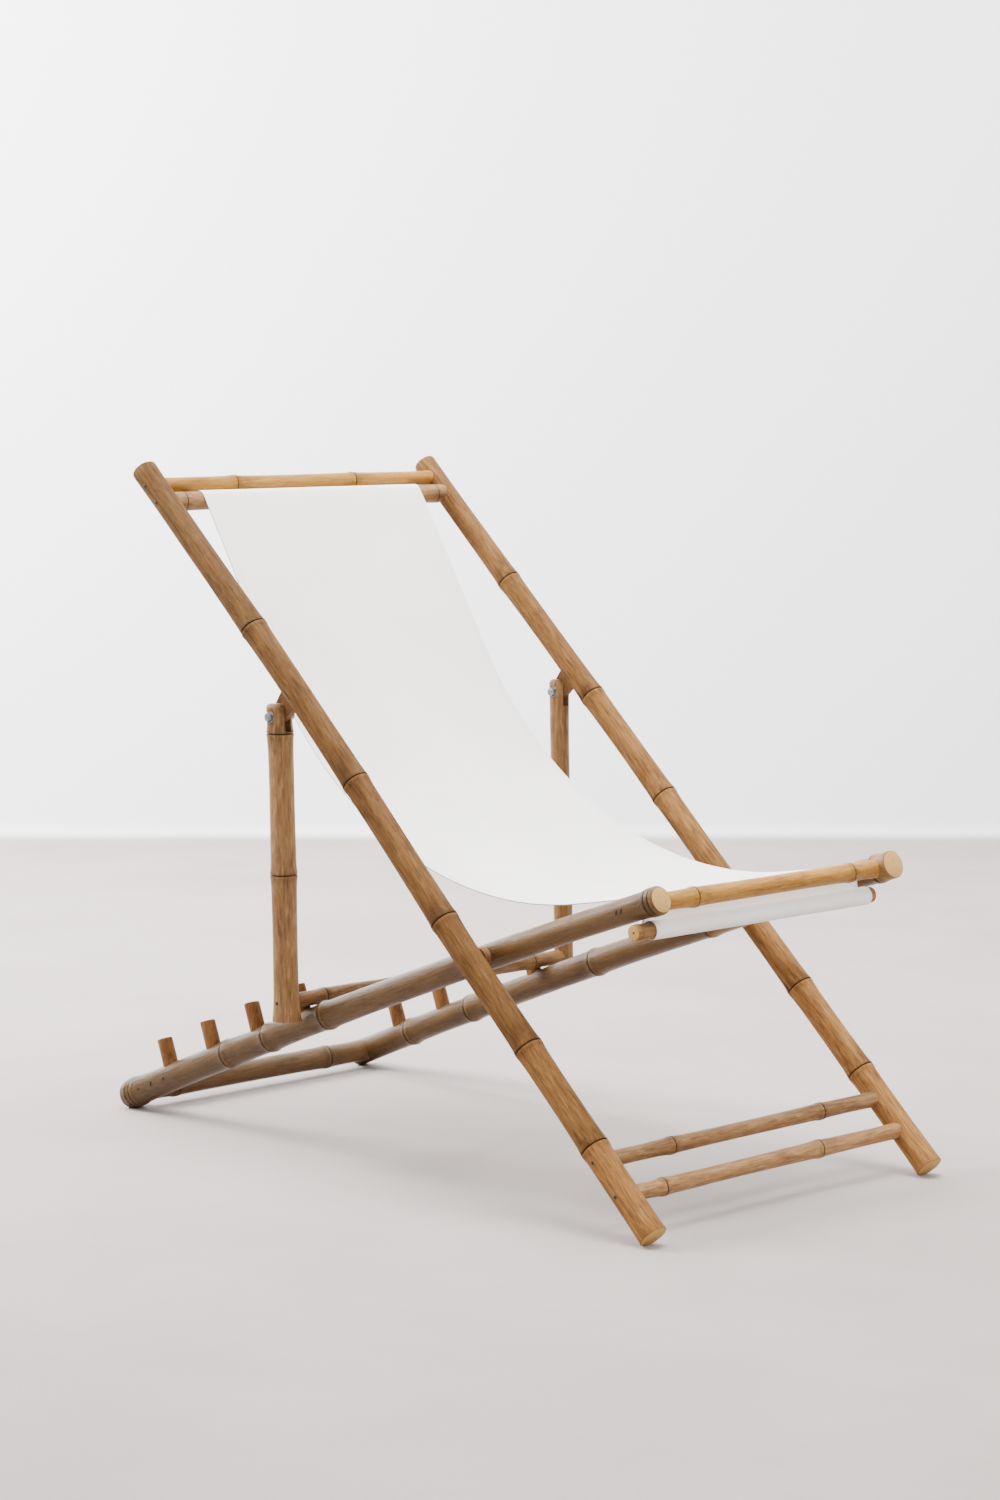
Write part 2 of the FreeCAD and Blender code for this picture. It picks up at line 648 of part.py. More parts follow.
hinge = on_long(size["hinge_place"], size["hinge_back"])
crossbar_place = size["peg_first"] - size["peg_radius"] - size["crossbar_radius"] - size["moving_gap"]
pole_under_crossbar = max(number_of(seat_radius(name, crossbar_place)) for name in SIDES)
crossbar = on_seat(crossbar_place, pole_under_crossbar + size["crossbar_radius"] + size["moving_gap"])
prop_length = math.hypot(hinge[0] - crossbar[0], hinge[1] - crossbar[1])
prop_angle = math.degrees(math.atan2(hinge[1] - crossbar[1], hinge[0] - crossbar[0]))
strut_length = f"(Sizes.strut_tail + {prop_length} + Sizes.strut_head)"


def prop_point(up):
    """Point on the struts' axes, at a distance from the crossbar towards the hinge."""
    return (
        crossbar[0] + up * math.cos(math.radians(prop_angle)),
        crossbar[1] + up * math.sin(math.radians(prop_angle)),
    )


def strut(name, side, socket):
    """A prop strut with a forked top, and its bolt and nut."""
    radius = f"Sizes.strut_{name}_radius"
    body = culm(f"prop_strut_{name}", strut_length, "Sizes.strut_head_round")
    body.Placement = in_side_plane(side * size["long_spread"], prop_point(-size["strut_tail"]), prop_angle)
    slot_floor = prop_point(prop_length + size["strut_head"] - size["slot_depth"])
    slot = block(
        f"fork_slot_{name}",
        side * size["long_spread"],
        slot_floor,
        prop_angle,
        Length="Sizes.tongue_thickness + 2 * Sizes.moving_gap",
        Width=f"4 * {radius}",
        Height="Sizes.slot_depth + Sizes.strut_head",
    )
    slot.Placement = slot.Placement * FreeCAD.Placement(
        FreeCAD.Vector(0, -slot.Width.Value / 2, 0), FreeCAD.Rotation()
    )
    inner = f"(Sizes.long_spread - {radius} + Sizes.spot_depth)"
    outer = f"(Sizes.long_spread + {radius} - Sizes.spot_depth)"
    far = "2 * Sizes.spot_depth"
    spot = "Sizes.hinge_spot_radius"
    tools = [
        socket,
        slot,
        rod_from(f"hinge_bore_{name}", BOLT_BORE, f"{inner} - {far}", f"{outer} + {far}", side, hinge),
        rod_from(f"hinge_inner_spot_{name}", spot, f"{inner} - {far}", inner, side, hinge),
        rod_from(f"hinge_outer_spot_{name}", spot, outer, f"{outer} + {far}", side, hinge),
    ]
    keep(f"prop_strut_{name}", cut(f"prop_strut_{name}_cut", body, tools))
    nut_end = f"({inner} - Sizes.hinge_head_height)"
    bolt_end = f"({nut_end} - Sizes.hinge_thread_end)"
    shank = rod_from(f"hinge_shank_{name}", "Sizes.bolt_radius", bolt_end, outer, side, hinge)
    head = hexagon(f"hinge_head_{name}", outer, side)
    bore = rod_from(f"hinge_nut_bore_{name}", BOLT_BORE, bolt_end, outer, side, hinge)
    nut = cut(f"hinge_nut_{name}", hexagon(f"hinge_nut_blank_{name}", nut_end, side), [bore])
    return [shank, head], nut


def hexagon(name, near, side):
    """A hexagonal head or nut from a distance off the middle plane outwards."""
    prism = doc.addObject("Part::Prism", name)
    prism.Polygon = HEAD_SIDES
    bind(prism, Circumradius="Sizes.hinge_head_radius", Height="Sizes.hinge_head_height")
    prism.Placement = across_from(side * number_of(near), hinge, side)
    return prism


def prop_frame():
    socket = rail("prop_crossbar", "Sizes.long_spread", cell("crossbar_radius"), crossbar)
    bolts = []
    nuts = []
    for name, side in SIDES.items():
        bolt, nut = strut(name, side, socket)
        bolts += bolt
        nuts.append(nut)
    keep("prop_hinge_bolts", join("prop_hinge_bolts_joined", bolts))
    keep("prop_hinge_nuts", group("prop_hinge_nuts_pair", nuts))


# Sling and its dowels

def wrap_radius(stick_radius):
    """From an axis to the middle of the cloth that lies round a stick of that radius."""
    return stick_radius + size["moving_gap"] + size["sling_thickness"] / 2


def upper_dowel_place():
    """Behind the gap between the upper two rails, drawn against the cloth on both."""
    reach = size["dowel_radius"] + size["moving_gap"] + size["sling_thickness"]
    from_sling_rail = wrap_radius(size["sling_rail_radius"]) + wrap_radius(size["dowel_radius"])
    from_sling_rail += size["sleeve_slack"]
    from_top_rail = size["top_rail_radius"] + size["moving_gap"] + reach
    gap = size["top_rail_place"] - size["sling_rail_place"]
    along = (gap**2 + from_sling_rail**2 - from_top_rail**2) / (2 * gap)
    behind = math.sqrt(from_sling_rail**2 - along**2)
    return on_long(size["sling_rail_place"] + along, behind)


def front_dowel_place():
    middle = -(size["front_rail_place"] + size["front_sling_rail_place"]) / 2
    return on_seat(middle, -size["front_dowel_drop"])


def arc_points(centre, radius, start, sweep):
    """Ends of the pieces of an arc, each under a half circle, with their middles."""
    pieces = max(1, math.ceil(abs(sweep) / MOST_IN_ONE_ARC))
    step = sweep / pieces
    result = []
    for piece in range(pieces):
        middle = start + step * (piece + 0.5)
        end = start + step * (piece + 1)
        result.append((offset(centre, unit(middle), radius), offset(centre, unit(end), radius)))
    return result


def sleeve_turns(rail_centre, rail_wrap, dowel_centre, dowel_wrap, way):
    """Angles at which the cloth leaves its rail and meets its dowel, which it goes round the other way.

    way is 1 where the cloth turns anticlockwise round the rail and -1 where it turns clockwise."""
    dy = dowel_centre[0] - rail_centre[0]
    dz = dowel_centre[1] - rail_centre[1]
    line = math.atan2(dz, dy)
    swing = math.acos((rail_wrap + dowel_wrap) / math.hypot(dy, dz))
    leave = line - way * swing
    return leave, leave + math.pi


def sling_path(shift):
    """One side of the cloth, from the end of the upper sleeve to the end of the front one.

    shift is how far that side lies from the cloth's middle, towards the sitter.
    The path is a list of lines and arcs: a point alone ends a line, and a pair ends an arc."""
    back = math.radians(size["sling_back_angle"])
    seat = math.radians(size["sling_seat_angle"])
    upper_rail = on_long(size["sling_rail_place"])
    front_rail = on_seat(-size["front_sling_rail_place"])
    upper_wrap = wrap_radius(size["sling_rail_radius"])
    front_wrap = wrap_radius(size["front_sling_rail_radius"])
    dowel_wrap = wrap_radius(size["dowel_radius"])
    upper_dowel = upper_dowel_place()
    front_dowel = front_dowel_place()
    turn = math.radians(size["sleeve_turn"])

    # The sitter's side is outside the rails and inside the sleeves' turn the other way.
    leave, meet = sleeve_turns(upper_rail, upper_wrap, upper_dowel, dowel_wrap, -1)
    upper_top = back + math.pi / 2
    upper_sweep = (upper_top - leave) % (2 * math.pi)
    start = offset(upper_dowel, unit(meet + turn), dowel_wrap - shift)
    path = arc_points(upper_dowel, dowel_wrap - shift, meet + turn, -turn)
    path.append(offset(upper_rail, unit(leave), upper_wrap + shift))
    path += arc_points(upper_rail, upper_wrap + shift, leave, upper_sweep)

    # Straight back and straight seat, with the sag between them as one arc tangent to both.
    back_start = offset(upper_rail, unit(upper_top), upper_wrap + shift)
    front_top = math.pi / 2 - seat
    seat_end = offset(front_rail, unit(front_top), front_wrap + shift)
    down_back = unit(back + math.pi)
    along_seat = unit(math.pi - seat)
    cross = down_back[0] * along_seat[1] - down_back[1] * along_seat[0]
    dy = seat_end[0] - back_start[0]
    dz = seat_end[1] - back_start[1]
    run = (dy * along_seat[1] - dz * along_seat[0]) / cross
    corner = offset(back_start, down_back, run)
    sag = size["sling_sag_radius"] - shift
    tangent = sag * math.tan((back + seat) / 2)
    sag_start = offset(corner, down_back, -tangent)
    sag_centre = offset(sag_start, unit(back + math.pi / 2), sag)
    path.append(sag_start)
    path += arc_points(sag_centre, sag, back - math.pi / 2, -(back + seat))
    path.append(seat_end)

    leave, meet = sleeve_turns(front_rail, front_wrap, front_dowel, dowel_wrap, 1)
    front_sweep = (leave - front_top) % (2 * math.pi)
    path += arc_points(front_rail, front_wrap + shift, front_top, front_sweep)
    path.append(offset(front_dowel, unit(meet), dowel_wrap - shift))
    path += arc_points(front_dowel, dowel_wrap - shift, meet, -turn)
    return start, path


def path_edges(start, path, x):
    edges = []
    here = start
    for step in path:
        if isinstance(step[0], tuple):
            middle, end = step
            edges.append(Part.Arc(*[FreeCAD.Vector(x, *spot) for spot in (here, middle, end)]).toShape())
        else:
            end = step
            edges.append(Part.makeLine(FreeCAD.Vector(x, *here), FreeCAD.Vector(x, *end)))
        here = end
    return edges, here


def sling():
    """The canvas: one strip with a sleeve round a dowel at each end, nipped in beside the seat poles."""
    half = size["sling_thickness"] / 2
    left_edge = size["sling_offset"] - size["sling_width"] / 2
    sitter_start, sitter_path = sling_path(half)
    under_start, under_path = sling_path(-half)
    sitter_edges, sitter_end = path_edges(sitter_start, sitter_path, left_edge)
    under_edges, under_end = path_edges(under_start, under_path, left_edge)
    ends = [
        Part.makeLine(FreeCAD.Vector(left_edge, *a), FreeCAD.Vector(left_edge, *b))
        for a, b in ((sitter_start, under_start), (sitter_end, under_end))
    ]
    outline = Part.Wire(sitter_edges + [ends[1]] + under_edges[::-1] + [ends[0]])
    strip = Part.Face(outline).extrude(FreeCAD.Vector(size["sling_width"], 0, 0))
    for name, side in SIDES.items():
        front = on_seat(-size["seat_front"])
        back = on_seat(0)
        direction = FreeCAD.Vector(0, back[0] - front[0], back[1] - front[1])
        radius = number_of(seat_radius(name, 0)) + size["cloth_pole_gap"]
        room = Part.makeCylinder(
            radius, direction.Length, FreeCAD.Vector(side * size["seat_spread"], *front), direction
        )
        strip = strip.cut(room)
    cloth = doc.addObject("Part::Feature", "sling_cloth")
    cloth.Shape = strip
    keep("sling", cloth)


def sling_and_dowels():
    sling()
    keep(
        "upper_sling_dowel",
        rod_across(
            "upper_dowel_stick", "Sizes.dowel_radius", "-Sizes.upper_dowel_half", "Sizes.upper_dowel_half",
            upper_dowel_place(),
        ),
    )
    keep(
        "front_sling_dowel",
        rod_across(
            "front_dowel_stick", "Sizes.dowel_radius", "-Sizes.front_dowel_right", "Sizes.front_dowel_left",
            front_dowel_place(),
        ),
    )


# The whole object

cutters = {name: pivot_cutters(name, side) for name, side in SIDES.items()}
seat_frame()
back_frame()
prop_frame()
sling_and_dowels()
doc.recompute()

for obj in doc.Objects:
    faults = [state for state in obj.State if state in ("Invalid", "Error")]
    if faults:
        raise RuntimeError(f"{obj.Name} is {faults}")
for name, obj in nodes.items():
    shape = obj.Shape
    if shape.isNull() or not shape.isValid() or not shape.Solids:
        raise RuntimeError(f"{name} has no valid solid")

os.makedirs("parts", exist_ok=True)
for name, obj in nodes.items():
    obj.Shape.exportStep(f"parts/{name}.step")
print(len(nodes), "nodes, pivot", [round(v, 3) for v in pivot], "hinge", [round(v, 3) for v in hinge])
print("crossbar", [round(v, 3) for v in crossbar], "strut at", round(prop_angle, 3), "degrees")
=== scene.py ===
"""Bamboo folding recliner: the looks of every visible piece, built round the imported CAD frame.

Lengths are in metres, +Z up, the sitter faces -Y, and the sitter's left is +X.
A culm is built along its own +Z, with its local Y on the side away from the floor.
"""

import json
import math

import bmesh
import bpy
from mathutils import Matrix, Vector, noise


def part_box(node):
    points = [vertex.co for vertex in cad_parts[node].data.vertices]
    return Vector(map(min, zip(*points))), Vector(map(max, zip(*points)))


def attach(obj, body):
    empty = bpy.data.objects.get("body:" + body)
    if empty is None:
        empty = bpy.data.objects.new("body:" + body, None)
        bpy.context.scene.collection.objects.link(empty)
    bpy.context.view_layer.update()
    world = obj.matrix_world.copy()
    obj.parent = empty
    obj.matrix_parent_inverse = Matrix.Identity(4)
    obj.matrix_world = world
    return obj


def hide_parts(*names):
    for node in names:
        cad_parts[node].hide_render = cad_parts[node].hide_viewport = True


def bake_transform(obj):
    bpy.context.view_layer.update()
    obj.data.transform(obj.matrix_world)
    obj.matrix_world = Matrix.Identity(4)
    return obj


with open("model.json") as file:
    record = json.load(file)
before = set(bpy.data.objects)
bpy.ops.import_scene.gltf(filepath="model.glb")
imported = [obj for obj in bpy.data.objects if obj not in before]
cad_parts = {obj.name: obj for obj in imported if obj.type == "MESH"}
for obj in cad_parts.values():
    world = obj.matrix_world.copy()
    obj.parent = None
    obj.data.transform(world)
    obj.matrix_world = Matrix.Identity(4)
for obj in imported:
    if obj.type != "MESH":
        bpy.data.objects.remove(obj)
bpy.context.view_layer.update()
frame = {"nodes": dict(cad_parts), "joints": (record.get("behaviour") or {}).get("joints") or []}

bl_info = {
    "name": "Bamboo Folding Recliner",
    "version": (1, 0, 0),
    "blender": (4, 5, 0),
    "location": "View3D > Sidebar > Recliner",
    "description": "Builds the culms, pegs, fasteners, canvas and stage of a folding recliner",
    "category": "Object",
}

SIDES = {"right": -1, "left": 1}
NODES = frame["nodes"]
JOINTS = {joint["name"]: joint for joint in frame["joints"]}
PIVOT = Vector(JOINTS["frame_fold"]["pos_m"])
HINGE = Vector(JOINTS["prop_fold"]["pos_m"])

# Corners round a turned piece: a culm, a small part and a nail.
AROUND = 40
AROUND_SMALL = 32
AROUND_NAIL = 16
# Longest and shortest step between two points of a culm's outline.
STATION = 0.015
CLOSEST = 0.0002
# Distance to a ring that is stored where a culm has none.
FAR = 1.0
# Points nearer than this count as one, and this near its end a culm shows sawn wood.
TOUCH = 1e-6
SAWN_DEPTH = 1e-5
# Edges that turn by more than this stay sharp, on hard pieces and on cloth.
SHARP = math.radians(38)
CLOTH_SHARP = math.radians(60)
# Where a worn corner bulges, as a share of its round.
CORNER = 0.3

# Ends of a seat pole to the axes of the rails that it carries.
FRONT_RAIL_IN = 0.022
REAR_RAIL_IN = 0.027

# How far a cutter reaches past the flat that it leaves, and past the open end of a slot.
CUT_REACH = 0.02
SLOT_REACH = 0.03
# Free gaps round a spacer and a washer in their spots, in their bores, and at a spacer's two ends.
SPACER_FIT = 0.0003
WASHER_FIT = 0.0004
BORE_FIT = 0.0001
END_GAP = 0.0003

# A culm narrows between rings this far apart or more, by this power of a sine.
WAIST_SPAN = 0.04
WAIST_FORM = 0.7
# A branch scar's start above its ring, how much it narrows, how it runs out, and its points.
SCAR_START = 0.03
SCAR_TAPER = 0.75
SCAR_FADE = 0.6
SCAR_STEPS = 10
# How far up a strut its flare reaches, and the left one's share of it.
FLARE_REACH = 0.016
LEFT_FLARE = 0.3
# Lumps around and along a culm, its slower straying, and the length over which that starts.
LUMPS_ROUND = 45
LUMPS_ALONG = 9
STRAY_WAVES = 3.1
STRAY_START = 0.08
# What sets one culm's lumps, marks and tones apart from another's.
LUMP_SEEDS = (7.3, 3.1, 17, 1.7)
MARK_SEEDS = (0.61, 29)
TONE_SEEDS = (12.9898, 4.1)
PLACE_SEED = 3.7
# Last station of a culm below its rounded top, in rounds.
TOP_CLEAR = 1.3
# Form of the long poles' spring, and how much taller the seat poles' rings are.
SPRING_FORM = 1.3
SEAT_RINGS = 1.5

# Rings of each culm, as shares of its length from its first end: the foot of a long pole, the front
# end of a seat pole, the bottom of a strut and the right end of a rail.
RINGS = {
    "long_pole_right": (0.102, 0.221, 0.378, 0.555, 0.765),
    "long_pole_left": (0.122, 0.233, 0.364, 0.495, 0.640, 0.814),
    "seat_pole_right": (0.0055, 0.0125, 0.316, 0.581, 0.695, 0.780, 0.9785, 0.9862),
    "seat_pole_left": (0.021, 0.302, 0.509, 0.754, 0.880),
    "prop_strut_right": (0.462, 0.905),
    "prop_strut_left": (0.380,),
    "top_rail": (0.26, 0.69),
    "upper_sling_rail": (0.045, 0.96),
    "upper_foot_rung": (0.22, 0.77),
    "lower_foot_rung": (0.11, 0.68),
    "front_rail": (0.165, 0.855),
    "front_sling_rail": (0.34, 0.71),
    "rear_rail": (0.12, 0.80),
    "prop_crossbar": (0.115, 0.88),
}

# Swell of a ring, as (place along the culm, height over it) in shares of the ring's own sizes.
RING_FORM = (
    (-4.0, 0.00),
    (-2.2, 0.16),
    (-1.1, 0.42),
    (-0.5, 0.86),
    (-0.17, 1.00),
    (-0.04, -0.30),
    (0.10, -0.30),
    (0.24, 0.70),
    (0.6, 0.92),
    (1.1, 0.50),
    (2.2, 0.16),
    (4.0, 0.00),
)

# Tones of each culm's internodes from its first end, dark at 0 and pale at 1; the last one goes on.
TONES = {
    "long_pole_right": (0.95, 0.55, 0.32, 0.34, 0.30, 0.20),
    "long_pole_left": (1.20, 1.05, 0.80, 0.60, 0.50, 0.42),
    "seat_pole_right": (0.50, 0.40, 0.32, 0.20, 0.12, 0.06, 0.05, 0.20),
    "seat_pole_left": (0.90, 0.80, 0.22, 0.15, 0.12),
    "prop_strut_right": (0.50, 0.62, 0.50),
    "prop_strut_left": (0.40, 0.45),
    "upper_foot_rung": (0.50, 0.62, 0.50),
    "lower_foot_rung": (0.85, 0.75, 0.85),
    "rear_rail": (0.25,),
    "prop_crossbar": (0.30,),
}
MIDDLE_TONE = (0.5,)
TONE_SPREAD = 0.05

# Scars that shed branches left above a ring, as (ring, angle about the culm in degrees).
SCARS = {
    "long_pole_right": ((0.765, -38.0),),
    "long_pole_left": ((0.640, -30.0), (0.233, -25.0)),
    "seat_pole_right": ((0.316, -60.0),),
    "top_rail": ((0.69, 60.0),),
    "upper_foot_rung": ((0.77, 40.0),),
}


# Sizes and colours that a user would change

def length(name, description, default):
    return bpy.props.FloatProperty(
        name=name, description=description, default=default, unit="LENGTH", subtype="DISTANCE",
        precision=4,
    )


def colour(name, description, default):
    return bpy.props.FloatVectorProperty(
        name=name, description=description, default=default, subtype="COLOR", size=3, min=0.0, max=1.0
    )


class CulmSizes(bpy.types.PropertyGroup):
    lean: bpy.props.FloatProperty(
        name="Lean", description="Long poles above level",
        default=math.radians(42.9), unit="ROTATION",
    )
    long_lower: length("Long pole, lower part", "Pivot to the foot of a long pole", 0.459)
    long_upper: length("Long pole, upper part", "Pivot to the top of a long pole", 0.926)
    long_spring_right: length("Right long pole spring", "Rise of its upper part to the sitter", 0.008)
    long_spring_left: length("Left long pole spring", "Rise of its upper part to the sitter", 0.002)
    long_spread: length("Long pole spread", "Middle plane to the axis of a long pole", 0.275)
    long_foot: length("Long pole foot", "Radius of a long pole at its foot", 0.0195)
    long_top_right: length("Right long pole top", "Radius of the right long pole at its top", 0.0185)
    long_top_left: length("Left long pole top", "Radius of the left long pole at its top", 0.017)
    seat_front: length("Seat pole, front part", "Pivot to the front end of a seat pole", 0.322)
    seat_rear: length("Seat pole, rear part", "Pivot to the rear foot of a seat pole", 0.844)
    seat_spread: length("Seat pole spread", "Middle plane to the axis of a seat pole", 0.229)
    seat_bow: length("Seat pole bow", "Rise of a seat pole over its chord", 0.009)
    seat_right_front: length("Right seat pole front", "Radius at its front end", 0.0175)
    seat_right_rear: length("Right seat pole foot", "Radius at its rear foot", 0.0215)
    seat_left_front: length("Left seat pole front", "Radius at its front end", 0.0195)
    seat_left_rear: length("Left seat pole foot", "Radius at its rear foot", 0.0205)
    strut_right: length("Right strut", "Radius of the right strut", 0.0185)
    strut_left: length("Left strut", "Radius of the left strut", 0.015)
    strut_tail: length("Strut tail", "Crossbar to the bottom of a strut", 0.027)
    strut_head: length("Strut head", "Hinge bolt to the top of a strut", 0.0186)
    strut_round: length("Strut round", "Rounding of a strut's top", 0.007)
    slot_width: length("Fork slot width", "Slot that a tongue turns in", 0.0106)
    slot_depth: length("Fork slot depth", "Top of a strut to the floor of its slot", 0.040)
    ring_height: length("Ring height", "Height of a ring's swelling", 0.0012)
    waist: length("Waist", "How much thinner a culm is between its rings", 0.0009)
    scar_depth: length("Scar depth", "Hollow that a shed branch left above a ring", 0.0022)
    scar_length: length("Scar length", "Hollow along the culm", 0.024)
    scar_width: length("Scar width", "Hollow around the culm", 0.0075)
    strut_flare: length("Strut flare", "How much wider a strut is at its bottom", 0.0022)
    ring_length: length("Ring length", "Length that a ring's swelling is measured in", 0.0055)
    wobble: length("Wobble", "Unevenness of a culm's thickness", 0.00045)
    stray: length("Stray", "How far a culm strays sideways between its rings", 0.0012)
    edge_round: length("Edge round", "Worn round of a sawn end", 0.0014)


class SmallSizes(bpy.types.PropertyGroup):
    peg_radius: length("Peg radius", "Recline peg", 0.0115)
    peg_proud: length("Peg height", "Recline peg above the pole's surface", 0.037)
    peg_depth: length("Peg depth", "Recline peg below the pole's surface", 0.012)
    peg_first: length("First peg", "Pivot back to the foremost peg", 0.408)
    peg_pitch: length("Peg pitch", "Peg to peg", 0.108)
    peg_count: bpy.props.IntProperty(name="Pegs", description="Pegs on each seat pole", default=4)
    peg_bevel: length("Peg bevel", "Round on a peg's top", 0.0016)
    nail_head: length("Nail head", "Radius of a nail's head", 0.0024)
    nail_proud: length("Nail height", "Nail head above the pole", 0.0006)
    twin_pitch: length("Twin nails", "Nail to nail where a rail has two", 0.009)
    tack_pitch: length("Tack pitch", "Short nail to short nail at the rear foot", 0.032)
    bolt_radius: length("Bolt radius", "Pivot and hinge bolts", 0.004)
    head_radius: length("Bolt head radius", "Corner radius of a hinge bolt's head and nut", 0.0069)
    head_height: length("Bolt head height", "Hinge bolt's head and nut", 0.005)
    washer_thickness: length("Washer thickness", "Washer under a bolt's head", 0.0012)
    washer_radius: length("Washer radius", "Washer under a bolt's head", 0.0084)
    thread_end: length("Thread end", "Hinge bolt's end beyond its nut", 0.0025)
    spot_depth: length("Spot depth", "Flat cut into a pole under a washer or spacer", 0.002)
    dome_radius: length("Dome radius", "Head of a pivot bolt", 0.010)
    dome_height: length("Dome height", "Head of a pivot bolt", 0.004)
    spacer_radius: length("Spacer radius", "Spacer between a seat pole and a long pole", 0.013)
    pith_radius: length("Pith radius", "Pith hole of a dowel", 0.0016)
    pith_depth: length("Pith depth", "Pith hole of a dowel", 0.006)


class SlingSizes(bpy.types.PropertyGroup):
    thickness: length("Thickness", "Canvas", 0.0013)
    back_angle: bpy.props.FloatProperty(
        name="Back angle", description="Sling below the upper rail, above level",
        default=math.radians(57.5), unit="ROTATION",
    )
    seat_angle: bpy.props.FloatProperty(
        name="Seat angle", description="Sling behind the front rail, rise to the front",
        default=math.radians(9.5), unit="ROTATION",
    )
    sag_radius: length("Sag radius", "Bend between back and seat", 0.600)
    sleeve_turn: bpy.props.FloatProperty(
        name="Sleeve turn", description="How far a sleeve goes round its dowel",
        default=math.radians(312), unit="ROTATION",
    )
    rest_gap: length("Rest gap", "Free gap between the cloth and what it lies on", 0.0003)
    crown: length("Crown", "How far the middle hangs below the edges", 0.004)
    curl: length("Curl", "How far the free edges curl up", 0.0022)
    ripple: length("Ripple", "Height of the faint ripples in the cloth", 0.0009)
    hem: length("Hem", "Turned-in edge of the cloth", 0.010)
    hem_step: length("Hem step", "How much thicker the cloth is at its hems", 0.0005)
    width: length("Width", "Canvas, across the chair", 0.4235)
    top_shift: length("Top shift", "Middle of the canvas at its top, to the sitter's left", -0.0023)
    front_shift: length("Front shift", "Middle of the canvas at its front, to the sitter's left", -0.0080)
    columns: bpy.props.IntProperty(name="Columns", description="Strips across the cloth", default=48)


class Colours(bpy.types.PropertyGroup):
    # Each pale colour goes to its flecks and to pale streaks of painted sheen.
    peeled: colour("Peeled bamboo", "Long poles", (0.182, 0.084, 0.025))
    peeled_dark: colour("Peeled bamboo streaks", "Long poles", (0.068, 0.028, 0.009))
    peeled_pale: colour("Peeled bamboo flecks and painted sheen", "Long poles", (0.302, 0.158, 0.054))
    smooth: colour("Smooth bamboo", "Seat poles", (0.150, 0.077, 0.026))
    smooth_dark: colour("Smooth bamboo streaks", "Seat poles", (0.054, 0.026, 0.009))
    smooth_pale: colour("Smooth bamboo flecks and painted sheen", "Seat poles", (0.240, 0.134, 0.048))
    thin: colour("Thin bamboo", "Struts and rungs", (0.235, 0.120, 0.044))
    thin_dark: colour("Thin bamboo streaks", "Struts and rungs", (0.070, 0.029, 0.011))
    thin_pale: colour("Thin bamboo flecks and painted sheen", "Struts and rungs", (0.420, 0.250, 0.105))
    yellow: colour("Yellow bamboo", "Top rail and front rail", (0.355, 0.166, 0.027))
    yellow_dark: colour("Yellow bamboo streaks", "Top rail and front rail", (0.125, 0.050, 0.010))
    yellow_pale: colour("Yellow bamboo flecks and painted sheen", "Top rail and front rail", (0.520, 0.272, 0.056))
    sawn: colour("Sawn end", "End grain of the culms", (0.520, 0.295, 0.092))
    peg: colour("Peg", "Pegs and tongues", (0.142, 0.057, 0.015))
    peg_dark: colour("Peg streaks", "Pegs and tongues", (0.045, 0.017, 0.006))
    peg_pale: colour("Peg flecks and painted sheen", "Pegs and tongues", (0.260, 0.122, 0.036))
    dowel: colour("Dowel", "Sling dowels", (0.300, 0.155, 0.060))
    spacer: colour("Spacer", "Wooden washers", (0.120, 0.060, 0.026))
    canvas: colour("Canvas", "Sling", (0.890, 0.852, 0.818))
    # The cloth's rim is painted darker than the canvas: painted shade on its edge.
    canvas_edge: colour("Canvas edge", "Cut edge of the cloth", (0.300, 0.250, 0.220))
    steel: colour("Steel", "Bolts and washers", (0.300, 0.290, 0.275))
    iron: colour("Iron", "Nails", (0.035, 0.028, 0.024))
    floor: colour("Floor", "Stage", (0.315, 0.278, 0.262))
    wall: colour("Wall", "Stage", (0.800, 0.800, 0.815))


class StageSizes(bpy.types.PropertyGroup):
    camera: bpy.props.FloatVectorProperty(
        name="Camera", description="Place of the camera", default=(-3.348, -3.455, 1.089),
        subtype="TRANSLATION",
    )
    turn: bpy.props.FloatProperty(
        name="Turn", description="Camera's heading to the right of straight ahead",
        default=math.radians(44.07), unit="ROTATION",
    )
    dip: bpy.props.FloatProperty(
        name="Dip", description="Camera's pitch below level",
        default=math.radians(6.22), unit="ROTATION",
    )
    lens: bpy.props.FloatProperty(name="Lens", description="Focal length in millimetres", default=82.2)
    room: length("Room", "Half the floor's width", 9.0)
    wall: length("Wall", "Chair to the back wall", 3.17)
    cove: length("Cove", "Radius between the floor and the wall", 0.05)


GROUPS = {
    "culms": CulmSizes,
    "small": SmallSizes,
    "cloth": SlingSizes,
    "paint": Colours,
    "stage": StageSizes,
}


def sizes(group):
    return getattr(bpy.context.scene, "recliner_" + group)


# Places in the side plane

def centre(node):
    low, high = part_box(node)
    return (low + high) / 2


def on_long(along, x):
    """Point at a distance up the long poles from the pivot."""
    lean = sizes("culms").lean
    return Vector((x, PIVOT.y + along * math.cos(lean), PIVOT.z + along * math.sin(lean)))


def seat_rise(along):
    """Height of a seat pole's axis over the line through the pivot along its chord."""
    culms = sizes("culms")
    front, rear = culms.seat_front, culms.seat_rear

    def over_chord(spot):
        return 4 * culms.seat_bow * (spot + front) * (rear - spot) / (front + rear) ** 2

    return over_chord(along) - over_chord(0)


def seat_slope():
    """Fall of the seat poles' chord, read from the rails at their two ends."""
    culms = sizes("culms")
    front, rear = centre("front_rail"), centre("rear_rail")
    run = math.hypot(rear.y - front.y, rear.z - front.z)
    front_place = FRONT_RAIL_IN - culms.seat_front
    rear_place = culms.seat_rear - REAR_RAIL_IN
    line = math.atan2(rear.z - front.z, rear.y - front.y)
    return math.asin((seat_rise(rear_place) - seat_rise(front_place)) / run) - line


def long_way():
    """Direction of the long poles' chord, towards their tops."""
    lean = sizes("culms").lean
    return Vector((0.0, math.cos(lean), math.sin(lean)))


def seat_way():
    """Direction of the seat poles' chord, towards their rear feet."""
    slope = seat_slope()
    return Vector((0.0, math.cos(slope), -math.sin(slope)))


